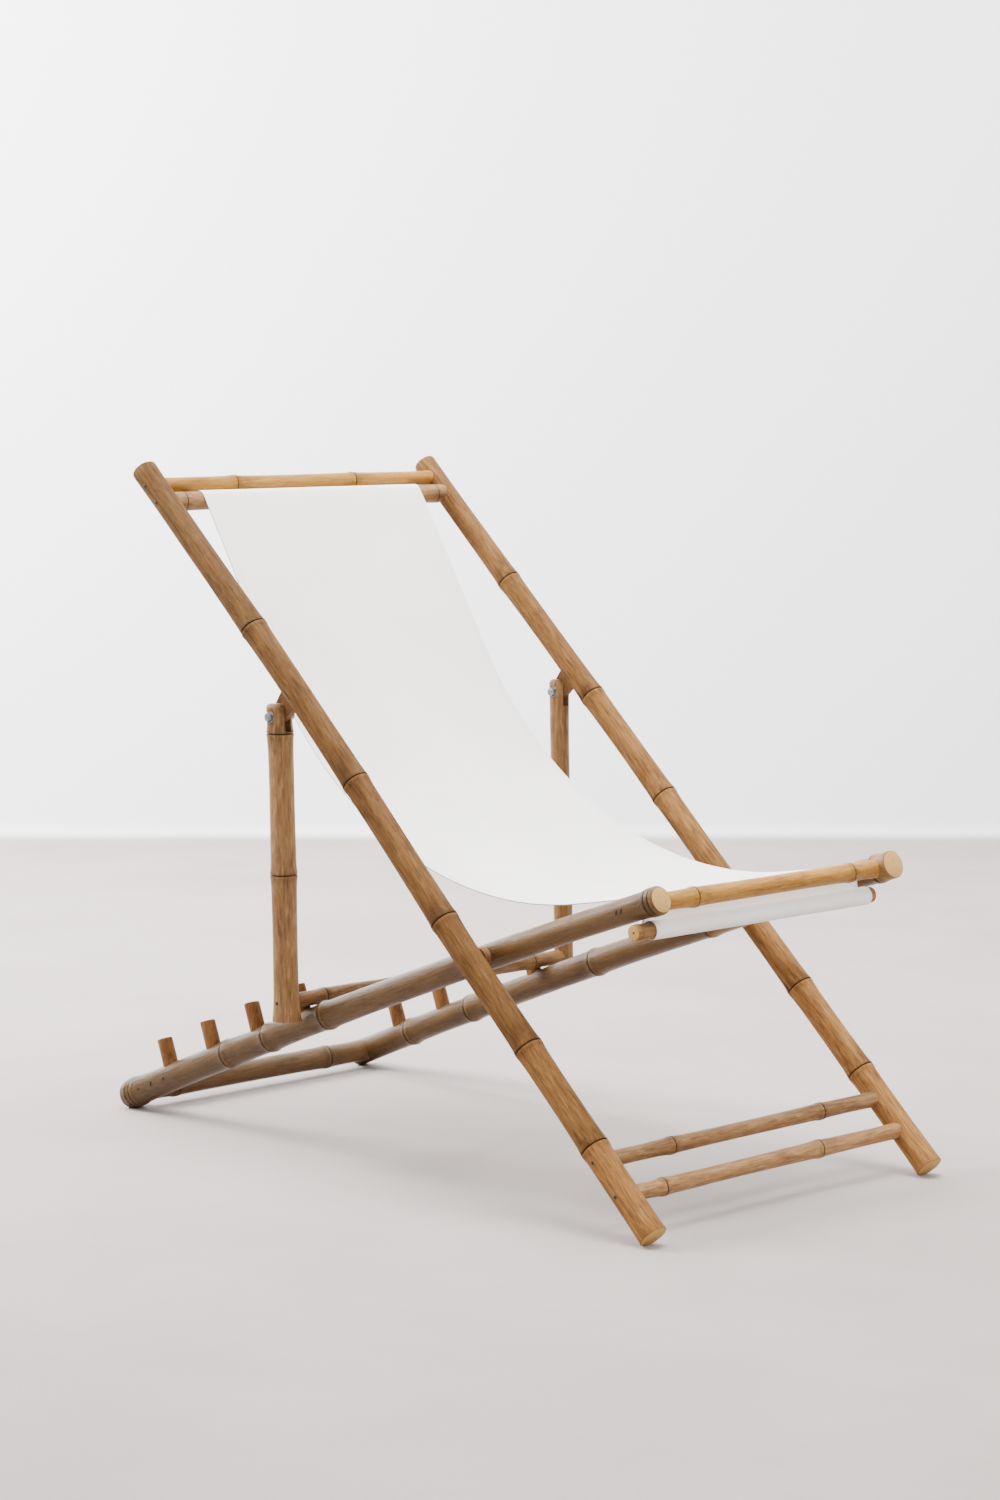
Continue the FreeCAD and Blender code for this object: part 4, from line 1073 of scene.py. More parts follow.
class RECLINER_OT_dowels(bpy.types.Operator):
    """Builds the two sling dowels with their pith holes"""

    bl_idname = "recliner.dowels"
    bl_label = "Sling Dowels"

    # Round of an end, place of the groove near one, and the swell about it as (height, share of radius).
    EDGE = 0.0012
    GROOVE = 0.0075
    RIDGES = ((0.004, 1.0), (0.0065, 1.05), (0.0075, 0.94), (0.0085, 1.05), (0.0115, 1.0))
    STATIONS = 40
    # Height of a dowel's lumps, how far they are sunk in shares of it, and how close they lie.
    UNEVEN = 0.0004
    PARED = 0.7
    LUMPS_ROUND = 70
    LUMPS_ALONG = 14
    # What sets one dowel's lumps and marks apart from another's.
    LUMP_SEEDS = (900, 7)
    MARK_SEED = 0.37

    def outline(self, radius, span):
        """Outline of a dowel from one pith hole to the other."""
        small = sizes("small")
        hole, deep, edge = small.pith_radius, small.pith_depth, self.EDGE
        outline = [(0, deep), (hole, deep), (hole, 0), (radius - edge, 0)]
        outline += [(radius - CORNER * edge, CORNER * edge), (radius, edge)]
        outline += [(radius * swell, height) for height, swell in self.RIDGES]
        heights = [span * step / self.STATIONS for step in range(1, self.STATIONS)]
        outline += [(radius, height) for height in heights if height > 2 * self.GROOVE]
        outline += [(radius, span - edge), (radius - CORNER * edge, span - CORNER * edge)]
        return outline + [(radius - edge, span), (hole, span), (hole, span - deep), (0, span - deep)]

    def execute(self, context):
        for name, body in (("front_sling_dowel", "seat_frame"), ("upper_sling_dowel", "back_frame")):
            low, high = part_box(name)
            middle = centre(name)
            radius = (high.z - low.z) / 2
            span = high.x - low.x
            bm = turned(self.outline(radius, span), AROUND_SMALL)
            by_radius, by_span = self.LUMP_SEEDS
            seed = Vector((radius * by_radius, span * by_span, 0.0))
            for vert in bm.verts:
                around = Vector((vert.co.x, vert.co.y, 0.0))
                if around.length > 0.5 * radius:
                    spot = around.xy * self.LUMPS_ROUND
                    lump = noise.noise(Vector((*spot, vert.co.z * self.LUMPS_ALONG)) + seed)
                    vert.co.xy += around.normalized().xy * (lump - self.PARED) * self.UNEVEN
            start = Vector((low.x, middle.y, middle.z))
            matrix = culm_frame(start, Vector((high.x, middle.y, middle.z)))
            placed(bm, matrix)
            mesh = bpy.data.meshes.new("dowel_" + name)
            bm.to_mesh(mesh)
            bm.free()
            mark_culm(mesh, matrix, [self.GROOVE], span, self.MARK_SEED + radius)
            piece = object_of("dowel_" + name, mesh, "Dowel wood")
            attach(piece, body)
            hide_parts(name)
        return {"FINISHED"}


# Sling

def unit(angle):
    return Vector((math.cos(angle), math.sin(angle)))


def flat(point):
    return Vector((point.y, point.z))


def arc(centre_point, radius, start, sweep, spacing):
    """Points along an arc, without its first."""
    count = max(2, math.ceil(abs(sweep) * radius / spacing))
    return [centre_point + unit(start + sweep * step / count) * radius for step in range(1, count + 1)]


def run_to(path, end, spacing):
    """Points on a straight run from the path's last point, without it."""
    start = path[-1]
    count = max(1, math.ceil((end - start).length / spacing))
    return [start.lerp(end, step / count) for step in range(1, count + 1)]


def sleeve_turns(rail, rail_wrap, dowel, dowel_wrap, way):
    """Angles at which the cloth leaves its rail and meets its dowel, round which it turns back."""
    line = math.atan2(dowel.y - rail.y, dowel.x - rail.x)
    swing = math.acos((rail_wrap + dowel_wrap) / (dowel - rail).length)
    leave = line - way * swing
    return leave, leave + math.pi


# Steps along the cloth round the rails and dowels, and where it hangs free.
FINE = 0.003
COARSE = 0.018


def sling_line():
    """The middle of the cloth in the side plane, from the upper sleeve's end to the front one's."""
    cloth = sizes("cloth")
    half = cloth.rest_gap + cloth.thickness / 2
    upper, front = flat(centre("upper_sling_rail")), flat(centre("front_sling_rail"))
    upper_dowel, front_dowel = flat(centre("upper_sling_dowel")), flat(centre("front_sling_dowel"))

    def wrap(node):
        low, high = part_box(node)
        return (high.z - low.z) / 2 + half

    upper_wrap, front_wrap = wrap("upper_sling_rail"), wrap("front_sling_rail")
    dowel_wrap = wrap("front_sling_dowel")
    back, seat, turn = cloth.back_angle, cloth.seat_angle, cloth.sleeve_turn
    leave, meet = sleeve_turns(upper, upper_wrap, upper_dowel, dowel_wrap, -1)
    path = [upper_dowel + unit(meet + turn) * dowel_wrap]
    path += arc(upper_dowel, dowel_wrap, meet + turn, -turn, FINE)
    path += run_to(path, upper + unit(leave) * upper_wrap, FINE)
    upper_top = back + math.pi / 2
    path += arc(upper, upper_wrap, leave, (upper_top - leave) % math.tau, FINE)
    front_top = math.pi / 2 - seat
    seat_end = front + unit(front_top) * front_wrap
    down, along = unit(back + math.pi), unit(math.pi - seat)
    cross = down.x * along.y - down.y * along.x
    step = seat_end - path[-1]
    corner = path[-1] + down * ((step.x * along.y - step.y * along.x) / cross)
    sag_start = corner - down * (cloth.sag_radius * math.tan((back + seat) / 2))
    path += run_to(path, sag_start, COARSE)
    sag_centre = sag_start + unit(back + math.pi / 2) * cloth.sag_radius
    path += arc(sag_centre, cloth.sag_radius, back - math.pi / 2, -(back + seat), COARSE)
    path += run_to(path, seat_end, COARSE)
    leave, meet = sleeve_turns(front, front_wrap, front_dowel, dowel_wrap, 1)
    path += arc(front, front_wrap, front_top, (leave - front_top) % math.tau, FINE)
    path += run_to(path, front_dowel + unit(meet) * dowel_wrap, FINE)
    path += arc(front_dowel, dowel_wrap, meet, -turn, FINE)
    return path


class RECLINER_OT_sling(bpy.types.Operator):
    """Builds the hung canvas with a sleeve at each end"""

    bl_idname = "recliner.sling"
    bl_label = "Canvas Sling"

    # The cloth is free from this far below the upper rail to this far behind the front one.
    FREE_BELOW = 0.006
    FREE_BEHIND = 0.012
    # The path's first points belong to the upper sleeve, wherever they lie.
    SLEEVE_POINTS = 40
    # Reach of the edges' curl from an edge.
    CURL_REACH = 0.010
    # How soon the hems' step comes in from the rails, and how far short of its seam it ends.
    HEM_START = 6
    HEM_EDGE = 0.0005
    # Broad and small ripples, as (across, along, their own place).
    BROAD = (2.2, 3.0, 0.3)
    SMALL = (9.0, 2.2, 4.1)
    SMALL_SHARE = 0.5
    # Columns close to an edge, and close to its hem's seam.
    EDGE_COLUMNS = (0.0, 0.0015, 0.004)
    SEAM_COLUMNS = (-0.0012, 0.0, 0.004)
    # Gap between the cloth's edges and the seat poles that pass them.
    NIP_GAP = 0.0022

    def execute(self, context):
        path = sling_line()
        lengths = [0.0]
        for a, b in zip(path, path[1:]):
            lengths.append(lengths[-1] + (b - a).length)
        span, width = lengths[-1], sizes("cloth").width
        bm, place, station = self.strip(path, lengths)
        self.hang(bm, place, station, path, lengths)
        bmesh.ops.recalc_face_normals(bm, faces=bm.faces)
        uv = bm.loops.layers.uv.new("cloth")
        for face in bm.faces:
            for loop in face.loops:
                loop[uv].uv = (loop.vert[place].x, loop.vert[place].y)
        self.nip(bm)
        piece = new_object("sling_canvas", bm, "Canvas")
        # Second slot for the rim: a darker canvas colour, painted shade on the cloth's edge.
        piece.data.materials.append(bpy.data.materials["Canvas edge"])
        self.thicken(piece)
        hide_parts("sling")
        tuple(on_seat(-0.03))
        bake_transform(piece)
        return {"FINISHED"}

    def strip(self, path, lengths):
        """The cloth as a straight strip across the path, with each point's place and station."""
        bm = bmesh.new()
        place = bm.verts.layers.float_vector.new("cloth_place")
        station = bm.verts.layers.int.new("station")
        first = [bm.verts.new((0.0, p.x, p.y)) for p in path]
        for index, (vert, run) in enumerate(zip(first, lengths)):
            vert[place] = (0.0, run, 0.0)
            vert[station] = index
        row = [bm.edges.new(pair) for pair in zip(first, first[1:])]
        for across in self.columns(sizes("cloth"))[1:]:
            made = bmesh.ops.extrude_edge_only(bm, edges=row)["geom"]
            verts = [item for item in made if isinstance(item, bmesh.types.BMVert)]
            row = [item for item in made if isinstance(item, bmesh.types.BMEdge)]
            for vert in verts:
                vert.co.x = across
                vert[place] = (across, vert[place].y, 0.0)
        return bm, place, station

    def hang(self, bm, place, station, path, lengths):
        """Lays the strip askew over its rails, and lets it sag, curl and ripple where it is free."""
        cloth = sizes("cloth")
        span, width = lengths[-1], cloth.width
        upper, front = flat(centre("upper_sling_rail")), flat(centre("front_sling_rail"))
        free_from = self.SLEEVE_POINTS + 1
        while path[free_from].y >= upper.y - self.FREE_BELOW:
            free_from += 1
        free_to = max(i for i, p in enumerate(path) if p.x > front.x + self.FREE_BEHIND)
        free_low, free_high = lengths[free_from], lengths[free_to]
        normals = []
        for index in range(len(path)):
            before, after = path[max(0, index - 1)], path[min(len(path) - 1, index + 1)]
            way = (after - before).normalized()
            normals.append(Vector((0.0, way.y, -way.x)))
        for vert in bm.verts:
            across, run = vert[place].x / width, vert[place].y
            skew = cloth.top_shift + (cloth.front_shift - cloth.top_shift) * run / span
            vert.co.x += skew - width / 2
            if not free_low < run < free_high:
                continue
            hang = math.sin(math.pi * ((run - free_low) / (free_high - free_low)))
            bowl = 1 - (2 * across - 1) ** 2
            edge = min(across, 1 - across) * width
            curl = math.exp(-edge / self.CURL_REACH)
            ripple = self.waves(across, run, self.BROAD)
            ripple += self.SMALL_SHARE * self.waves(across, run, self.SMALL)
            lift = -cloth.crown * bowl * hang + cloth.curl * curl * hang + cloth.ripple * ripple * hang
            if edge < cloth.hem - self.HEM_EDGE:
                lift += cloth.hem_step * min(1.0, self.HEM_START * hang)
            vert.co -= normals[vert[station]] * lift

    def thicken(self, piece):
        """Gives the cloth its thickness, with the edge's material round it: a darker copy of the canvas,
        painted shade on the rim.
        """
        solidify = piece.modifiers.new("thickness", "SOLIDIFY")
        solidify.thickness = sizes("cloth").thickness
        solidify.offset = 0.0
        solidify.material_offset_rim = 1
        depsgraph = bpy.context.evaluated_depsgraph_get()
        mesh = bpy.data.meshes.new_from_object(piece.evaluated_get(depsgraph))
        piece.modifiers.clear()
        piece.data = mesh
        mesh.name = "sling_canvas"
        mesh.shade_smooth()
        mesh.set_sharp_from_angle(angle=CLOTH_SHARP)

    def waves(self, across, run, form):
        """Ripples of one form at a place of the cloth."""
        wide, high, place = form
        return noise.noise(Vector((across * wide, run * high, place)))

    def columns(self, cloth):
        """Places across the cloth, with close ones at its hems."""
        near = [*self.EDGE_COLUMNS, *(cloth.hem + step for step in self.SEAM_COLUMNS)]
        inside = cloth.width - 2 * near[-1]
        middle = [near[-1] + inside * step / cloth.columns for step in range(1, cloth.columns)]
        return near + middle + [cloth.width - place for place in reversed(near)]

    def nip(self, bm):
        """Draws the cloth's edges in where the seat poles pass them at the front."""
        culms = sizes("culms")
        slope, way = seat_slope(), seat_way()
        for vert in bm.verts:
            along = (vert.co - PIVOT).dot(way)
            if not -culms.seat_front < along < 0.0:
                continue
            axis = on_seat(along, slope=slope)
            off = Vector((vert.co.y - axis.y, vert.co.z - axis.z)).length
            for side, sign in SIDES.items():
                room = seat_radius(side, along) + self.NIP_GAP
                if off < room:
                    limit = culms.seat_spread - math.sqrt(room**2 - off**2)
                    if sign * vert.co.x > limit:
                        vert.co.x = sign * limit


class RECLINER_OT_tongues(bpy.types.Operator):
    """Gives the two hinge tongues their wood"""

    bl_idname = "recliner.tongues"
    bl_label = "Hinge Tongues"

    def execute(self, context):
        for side in SIDES:
            node = NODES[f"hinge_tongue_{side}"]
            node.data.materials.clear()
            node.data.materials.append(bpy.data.materials["Tongue wood"])
        return {"FINISHED"}


# Shader groups and materials

def group_sockets(tree, inputs, outputs):
    for name, kind, default in inputs:
        socket = tree.interface.new_socket(name=name, in_out="INPUT", socket_type="NodeSocket" + kind)
        if default is not None:
            socket.default_value = default
    for name, kind in outputs:
        tree.interface.new_socket(name=name, in_out="OUTPUT", socket_type="NodeSocket" + kind)


class Wiring:
    """Short names for adding and joining shader nodes."""

    def __init__(self, tree):
        self.tree = tree

    def node(self, kind, inputs=None, **settings):
        made = self.tree.nodes.new(kind)
        for name, value in settings.items():
            setattr(made, name, value)
        for name, value in (inputs or {}).items():
            self.feed(value, made.inputs[name])
        return made

    def feed(self, value, socket):
        if isinstance(value, bpy.types.NodeSocket):
            self.tree.links.new(value, socket)
        else:
            socket.default_value = value

    def maths(self, operation, a, b=0.0, c=0.0):
        made = self.node("ShaderNodeMath", operation=operation)
        for value, socket in zip((a, b, c), made.inputs):
            self.feed(value, socket)
        return made.outputs[0]

    def blend(self, factor, a, b, kind="MIX"):
        made = self.node("ShaderNodeMix", data_type="RGBA", blend_type=kind)
        self.feed(factor, made.inputs["Factor"])
        self.feed(a, made.inputs["A"])
        self.feed(b, made.inputs["B"])
        return made.outputs["Result"]

    def span(self, value, low, high, to_low=0.0, to_high=1.0):
        """A value brought from one range smoothly to another, and held at its ends."""
        made = self.node(
            "ShaderNodeMapRange",
            {"Value": value, "From Min": low, "From Max": high, "To Min": to_low, "To Max": to_high},
        )
        made.interpolation_type = "SMOOTHSTEP"
        return made.outputs[0]

    def stretch(self, vector, scale):
        made = self.node("ShaderNodeVectorMath", operation="MULTIPLY")
        self.feed(vector, made.inputs[0])
        self.feed(scale, made.inputs[1])
        return made.outputs[0]

    def speckle(self, vector, scale, detail, rough):
        made = self.node(
            "ShaderNodeTexNoise", {"Vector": vector, "Scale": scale, "Detail": detail, "Roughness": rough}
        )
        return made.outputs["Fac"]

    def noise(self, vector, form):
        """Noise in a stretched place, by its stretch, detail and roughness."""
        scale, detail, rough = form
        return self.speckle(self.stretch(vector, scale), 1.0, detail, rough)

    def layer(self, vector, form, low, high):
        """Noise that fades in between two of its values."""
        return self.span(self.noise(vector, form), low, high)

    def stored(self, name, output="Fac"):
        return self.node("ShaderNodeAttribute", attribute_name=name).outputs[output]

    def grey(self, value):
        made = self.node("ShaderNodeCombineColor", {"Red": value, "Green": value, "Blue": value})
        return made.outputs[0]


def shader_group(name, inputs, outputs):
    tree = bpy.data.node_groups.new(name, "ShaderNodeTree")
    group_sockets(tree, inputs, outputs)
    wiring = Wiring(tree)
    source = wiring.node("NodeGroupInput")
    sink = wiring.node("NodeGroupOutput")
    return wiring, source.outputs, sink.inputs


# Noise of a culm's or stick's fibres, as stretch, detail and roughness, and where it fades in.
HAIR = (((820.0, 820.0, 44.0), 3.0, 0.6), 0.36, 0.66)
FINE_FIBRES = (((300.0, 300.0, 30.0), 5.0, 0.66), 0.44, 0.64)
LONG_FIBRES = (((110.0, 110.0, 4.5), 4.0, 0.6), 0.44, 0.68)
CLOUDS = (((36.0, 36.0, 13.0), 5.0, 0.66), 0.48, 0.70)
FLECKS = (((260.0, 260.0, 34.0), 5.0, 0.62), 0.50, 0.66)
# Pale streaks along the grain that paint a sheen into the colour.
PAINTED_SHEEN_STREAKS = (((55.0, 55.0, 5.0), 3.0, 0.5), 0.42, 0.66)
# Where the pale layers are read, so that they don't follow the dark ones.
PALE_SHIFT = (0.31, 0.17, 0.53)
# Painted sheen as pale streaks beside the flecks, hair beside the fine fibres, and the tone's gain and
# base.
PAINTED_SHEEN_SHARE = 0.5
HAIR_SHARE = 0.35
TONE_GAIN = 1.2
TONE_BASE = 0.4
# Height of the hair, the fine and the long fibres.
HAIR_HEIGHT = -0.25
FINE_HEIGHT = -0.6
LONG_HEIGHT = -0.5


def fibre_group():
    """Long fibres, flecks, dark streaks, painted sheen in pale streaks, and cloudy patches of a culm or a
    stick.
    """
    wiring, source, sink = shader_group(
        "Long fibres",
        [
            ("Place", "Vector", None),
            ("Colour", "Color", (0.4, 0.2, 0.1, 1)),
            ("Dark", "Color", (0.15, 0.07, 0.03, 1)),
            ("Pale", "Color", (0.6, 0.4, 0.2, 1)),
            ("Tone", "Float", 0.5),
            ("Fibre", "Float", 0.5),
            ("Streak", "Float", 0.5),
            ("Cloud", "Float", 0.5),
            ("Fleck", "Float", 0.5),
        ],
        [("Colour", "Color"), ("Height", "Float"), ("Wear", "Float")],
    )
    place = source["Place"]
    hair, fine = wiring.layer(place, *HAIR), wiring.layer(place, *FINE_FIBRES)
    long, cloud = wiring.layer(place, *LONG_FIBRES), wiring.layer(place, *CLOUDS)
    moved = wiring.node("ShaderNodeVectorMath", operation="ADD")
    wiring.feed(place, moved.inputs[0])
    wiring.feed(PALE_SHIFT, moved.inputs[1])
    fleck = wiring.maths("MULTIPLY", wiring.layer(moved.outputs[0], *FLECKS), source["Fleck"])
    # Painted sheen: pale streaks along the grain.
    streak = wiring.layer(moved.outputs[0], *PAINTED_SHEEN_STREAKS)
    pale = wiring.maths("MULTIPLY", source["Fleck"], PAINTED_SHEEN_SHARE)
    pale = wiring.maths("MINIMUM", wiring.maths("MULTIPLY_ADD", streak, pale, fleck), 1.0)
    tone = wiring.grey(wiring.maths("MULTIPLY_ADD", source["Tone"], TONE_GAIN, TONE_BASE))
    dark = wiring.maths("MULTIPLY_ADD", hair, HAIR_SHARE, fine)
    dark = wiring.maths("MULTIPLY", dark, source["Fibre"])
    dark = wiring.maths("MULTIPLY_ADD", long, source["Streak"], dark)
    dark = wiring.maths("MULTIPLY_ADD", cloud, source["Cloud"], dark)
    dark = wiring.maths("MINIMUM", dark, 1.0)
    body = wiring.blend(pale, source["Colour"], source["Pale"])
    body = wiring.blend(dark, body, source["Dark"])
    wiring.feed(wiring.blend(1.0, body, tone, "MULTIPLY"), sink["Colour"])
    height = wiring.maths("MULTIPLY", fine, FINE_HEIGHT)
    height = wiring.maths("MULTIPLY_ADD", long, LONG_HEIGHT, height)
    wiring.feed(wiring.maths("MULTIPLY_ADD", hair, HAIR_HEIGHT, height), sink["Height"])
    wiring.feed(cloud, sink["Wear"])
    return wiring.tree


# Noise that makes a ring's edge ragged, how far it moves it, and where it breaks the shade up.
RAGGED = ((160.0, 160.0, 60.0), 2.0, 0.5)
RAGGED_REACH = 0.0008
RAGGED_FADE = (0.35, 0.65)
# Smoky patches above a ring: partly grime, partly painted shade.
SMOKE_AND_SHADE_PATCHES = (((48.0, 48.0, 20.0), 3.0, 0.6), 0.40, 0.72)
# Distance to a ring at which each mark starts and at which it is whole.
GROOVE_FADE = (0.0017, 0.0005)
SMOKE_AND_SHADE_FADE = (0.060, 0.003)
LIP_FADE = (0.0060, 0.0022)
LIP_PAST = (0.008, 0.02)
SHADE_FADE = (0.014, 0.002)
# How much of the colour the shade, the lip and the groove take.
SHADE_SHARE = 0.45
LIP_SHARE = 0.10
GROOVE_SHARE = 0.90
# Where a branch scar's depth darkens it.
SCAR_DARK = (0.15, 0.75)
# Pores and grain of a sawn end, how much of the colour they take, and where the end starts.
PORES = 900.0
PORE_FADE = (0.35, 0.1)
PORE_SHARE = 0.30
END_GRAIN = (((160.0, 160.0, 160.0), 4.0, 0.6), 0.5, 0.75)
END_GRAIN_SHARE = 0.25
SAWN_FADE = (0.6, 0.98)


def ring_group():
    """Dark groove, pale lip and dark band of a culm's rings, smoke and painted shade above them, with its
    sawn ends.
    """
    wiring, source, sink = shader_group(
        "Rings and ends",
        [
            ("Colour", "Color", (0.4, 0.2, 0.1, 1)),
            ("Dark", "Color", (0.1, 0.05, 0.02, 1)),
            ("Sawn", "Color", (0.5, 0.35, 0.17, 1)),
            ("Place", "Vector", None),
            ("Smoke", "Float", 0.4),
        ],
        [("Colour", "Color"), ("Height", "Float")],
    )
    place, past = source["Place"], wiring.stored("past_ring")
    ragged = wiring.noise(place, RAGGED)
    shift = wiring.maths("MULTIPLY", wiring.maths("SUBTRACT", ragged, 0.5), RAGGED_REACH)
    gap = wiring.maths("ADD", wiring.stored("ring_gap"), shift)
    groove = wiring.span(gap, *GROOVE_FADE)
    # Patchy darkening above each ring: partly grime, partly painted shade.
    smoke_and_shade = wiring.maths("MULTIPLY", wiring.layer(place, *SMOKE_AND_SHADE_PATCHES), wiring.span(past, *SMOKE_AND_SHADE_FADE))
    smoke_and_shade = wiring.maths("MULTIPLY", smoke_and_shade, source["Smoke"])
    lip = wiring.maths("MULTIPLY", wiring.span(gap, *LIP_FADE), wiring.span(past, *LIP_PAST))
    shade = wiring.maths("MULTIPLY", wiring.span(gap, *SHADE_FADE), wiring.span(ragged, *RAGGED_FADE))
    marked = wiring.blend(smoke_and_shade, source["Colour"], source["Dark"])
    marked = wiring.blend(wiring.maths("MULTIPLY", shade, SHADE_SHARE), marked, source["Dark"])
    marked = wiring.blend(wiring.maths("MULTIPLY", lip, LIP_SHARE), marked, source["Sawn"])
    scar = wiring.span(wiring.stored("branch_scar"), *SCAR_DARK)
    hollow = wiring.maths("MULTIPLY", wiring.maths("MAXIMUM", groove, scar), GROOVE_SHARE)
    marked = wiring.blend(hollow, marked, source["Dark"])
    pores = wiring.node("ShaderNodeTexVoronoi", {"Vector": place, "Scale": PORES}).outputs["Distance"]
    pores = wiring.maths("MULTIPLY", wiring.span(pores, *PORE_FADE), PORE_SHARE)
    cut = wiring.blend(pores, source["Sawn"], source["Dark"])
    grain = wiring.maths("MULTIPLY", wiring.layer(place, *END_GRAIN), END_GRAIN_SHARE)
    cut = wiring.blend(grain, cut, source["Colour"])
    mask = wiring.span(wiring.stored("sawn_end"), *SAWN_FADE)
    wiring.feed(wiring.blend(mask, marked, cut), sink["Colour"])
    wiring.feed(wiring.maths("MULTIPLY", groove, -1.0), sink["Height"])
    return wiring.tree


# Pitch of the canvas's yarns, their slubs, and the cloth's faint patches with their shades.
YARN = 0.0011
SLUBS = ((60.0, 900.0, 1.0), 2.0, 0.5)
CLOTH_PATCHES = ((7.0, 7.0, 1.0), 3.0, 0.5)
PATCH_SHADES = (0.3, 0.7, 0.93, 0.99)
# How much the yarns and the slubs lighten the cloth, and the slubs' share of its height.
YARN_SHADE = 0.05
SLUB_SHADE = 0.03
SLUB_LEVEL = 0.02
SLUB_HEIGHT = 0.6


def weave_group():
    """Plain weave of a canvas, in the cloth's own metres."""
    wiring, source, sink = shader_group(
        "Plain weave",
        [
            ("Cloth", "Vector", None),
            ("Colour", "Color", (0.8, 0.8, 0.8, 1)),
            ("Yarn", "Float", YARN),
        ],
        [("Colour", "Color"), ("Height", "Float")],
    )
    parts = wiring.node("ShaderNodeSeparateXYZ", {"Vector": source["Cloth"]})
    turns = wiring.maths("DIVIDE", math.pi, source["Yarn"])
    slub = wiring.noise(source["Cloth"], SLUBS)
    across = wiring.maths("SINE", wiring.maths("MULTIPLY_ADD", parts.outputs["X"], turns, slub))
    along = wiring.maths("SINE", wiring.maths("MULTIPLY_ADD", parts.outputs["Y"], turns, slub))
    woven = wiring.maths("MULTIPLY_ADD", wiring.maths("MULTIPLY", across, along), 0.5, 0.5)
    patch = wiring.span(wiring.noise(source["Cloth"], CLOTH_PATCHES), *PATCH_SHADES)
    shade = wiring.maths("MULTIPLY_ADD", woven, YARN_SHADE, patch)
    shade = wiring.maths("SUBTRACT", shade, SLUB_LEVEL)
    shade = wiring.grey(wiring.maths("MULTIPLY_ADD", slub, SLUB_SHADE, shade))
    wiring.feed(wiring.blend(1.0, source["Colour"], shade, "MULTIPLY"), sink["Colour"])
    wiring.feed(wiring.maths("MULTIPLY_ADD", slub, SLUB_HEIGHT, woven), sink["Height"])
    return wiring.tree


def shader(name):
    """A new material's wiring and the inputs of its shader."""
    material = bpy.data.materials.new(name)
    material.use_nodes = True
    wiring = Wiring(material.node_tree)
    return wiring, material.node_tree.nodes["Principled BSDF"].inputs


def use(wiring, group, inputs):
    made = wiring.node("ShaderNodeGroup", node_tree=group)
    for name, value in inputs.items():
        wiring.feed(value, made.inputs[name])
    return made.outputs


def rgba(value):
    return (*value, 1.0)


def bump(wiring, height, distance, strength):
    made = wiring.node("ShaderNodeBump", {"Height": height, "Distance": distance, "Strength": strength})
    return made.outputs["Normal"]


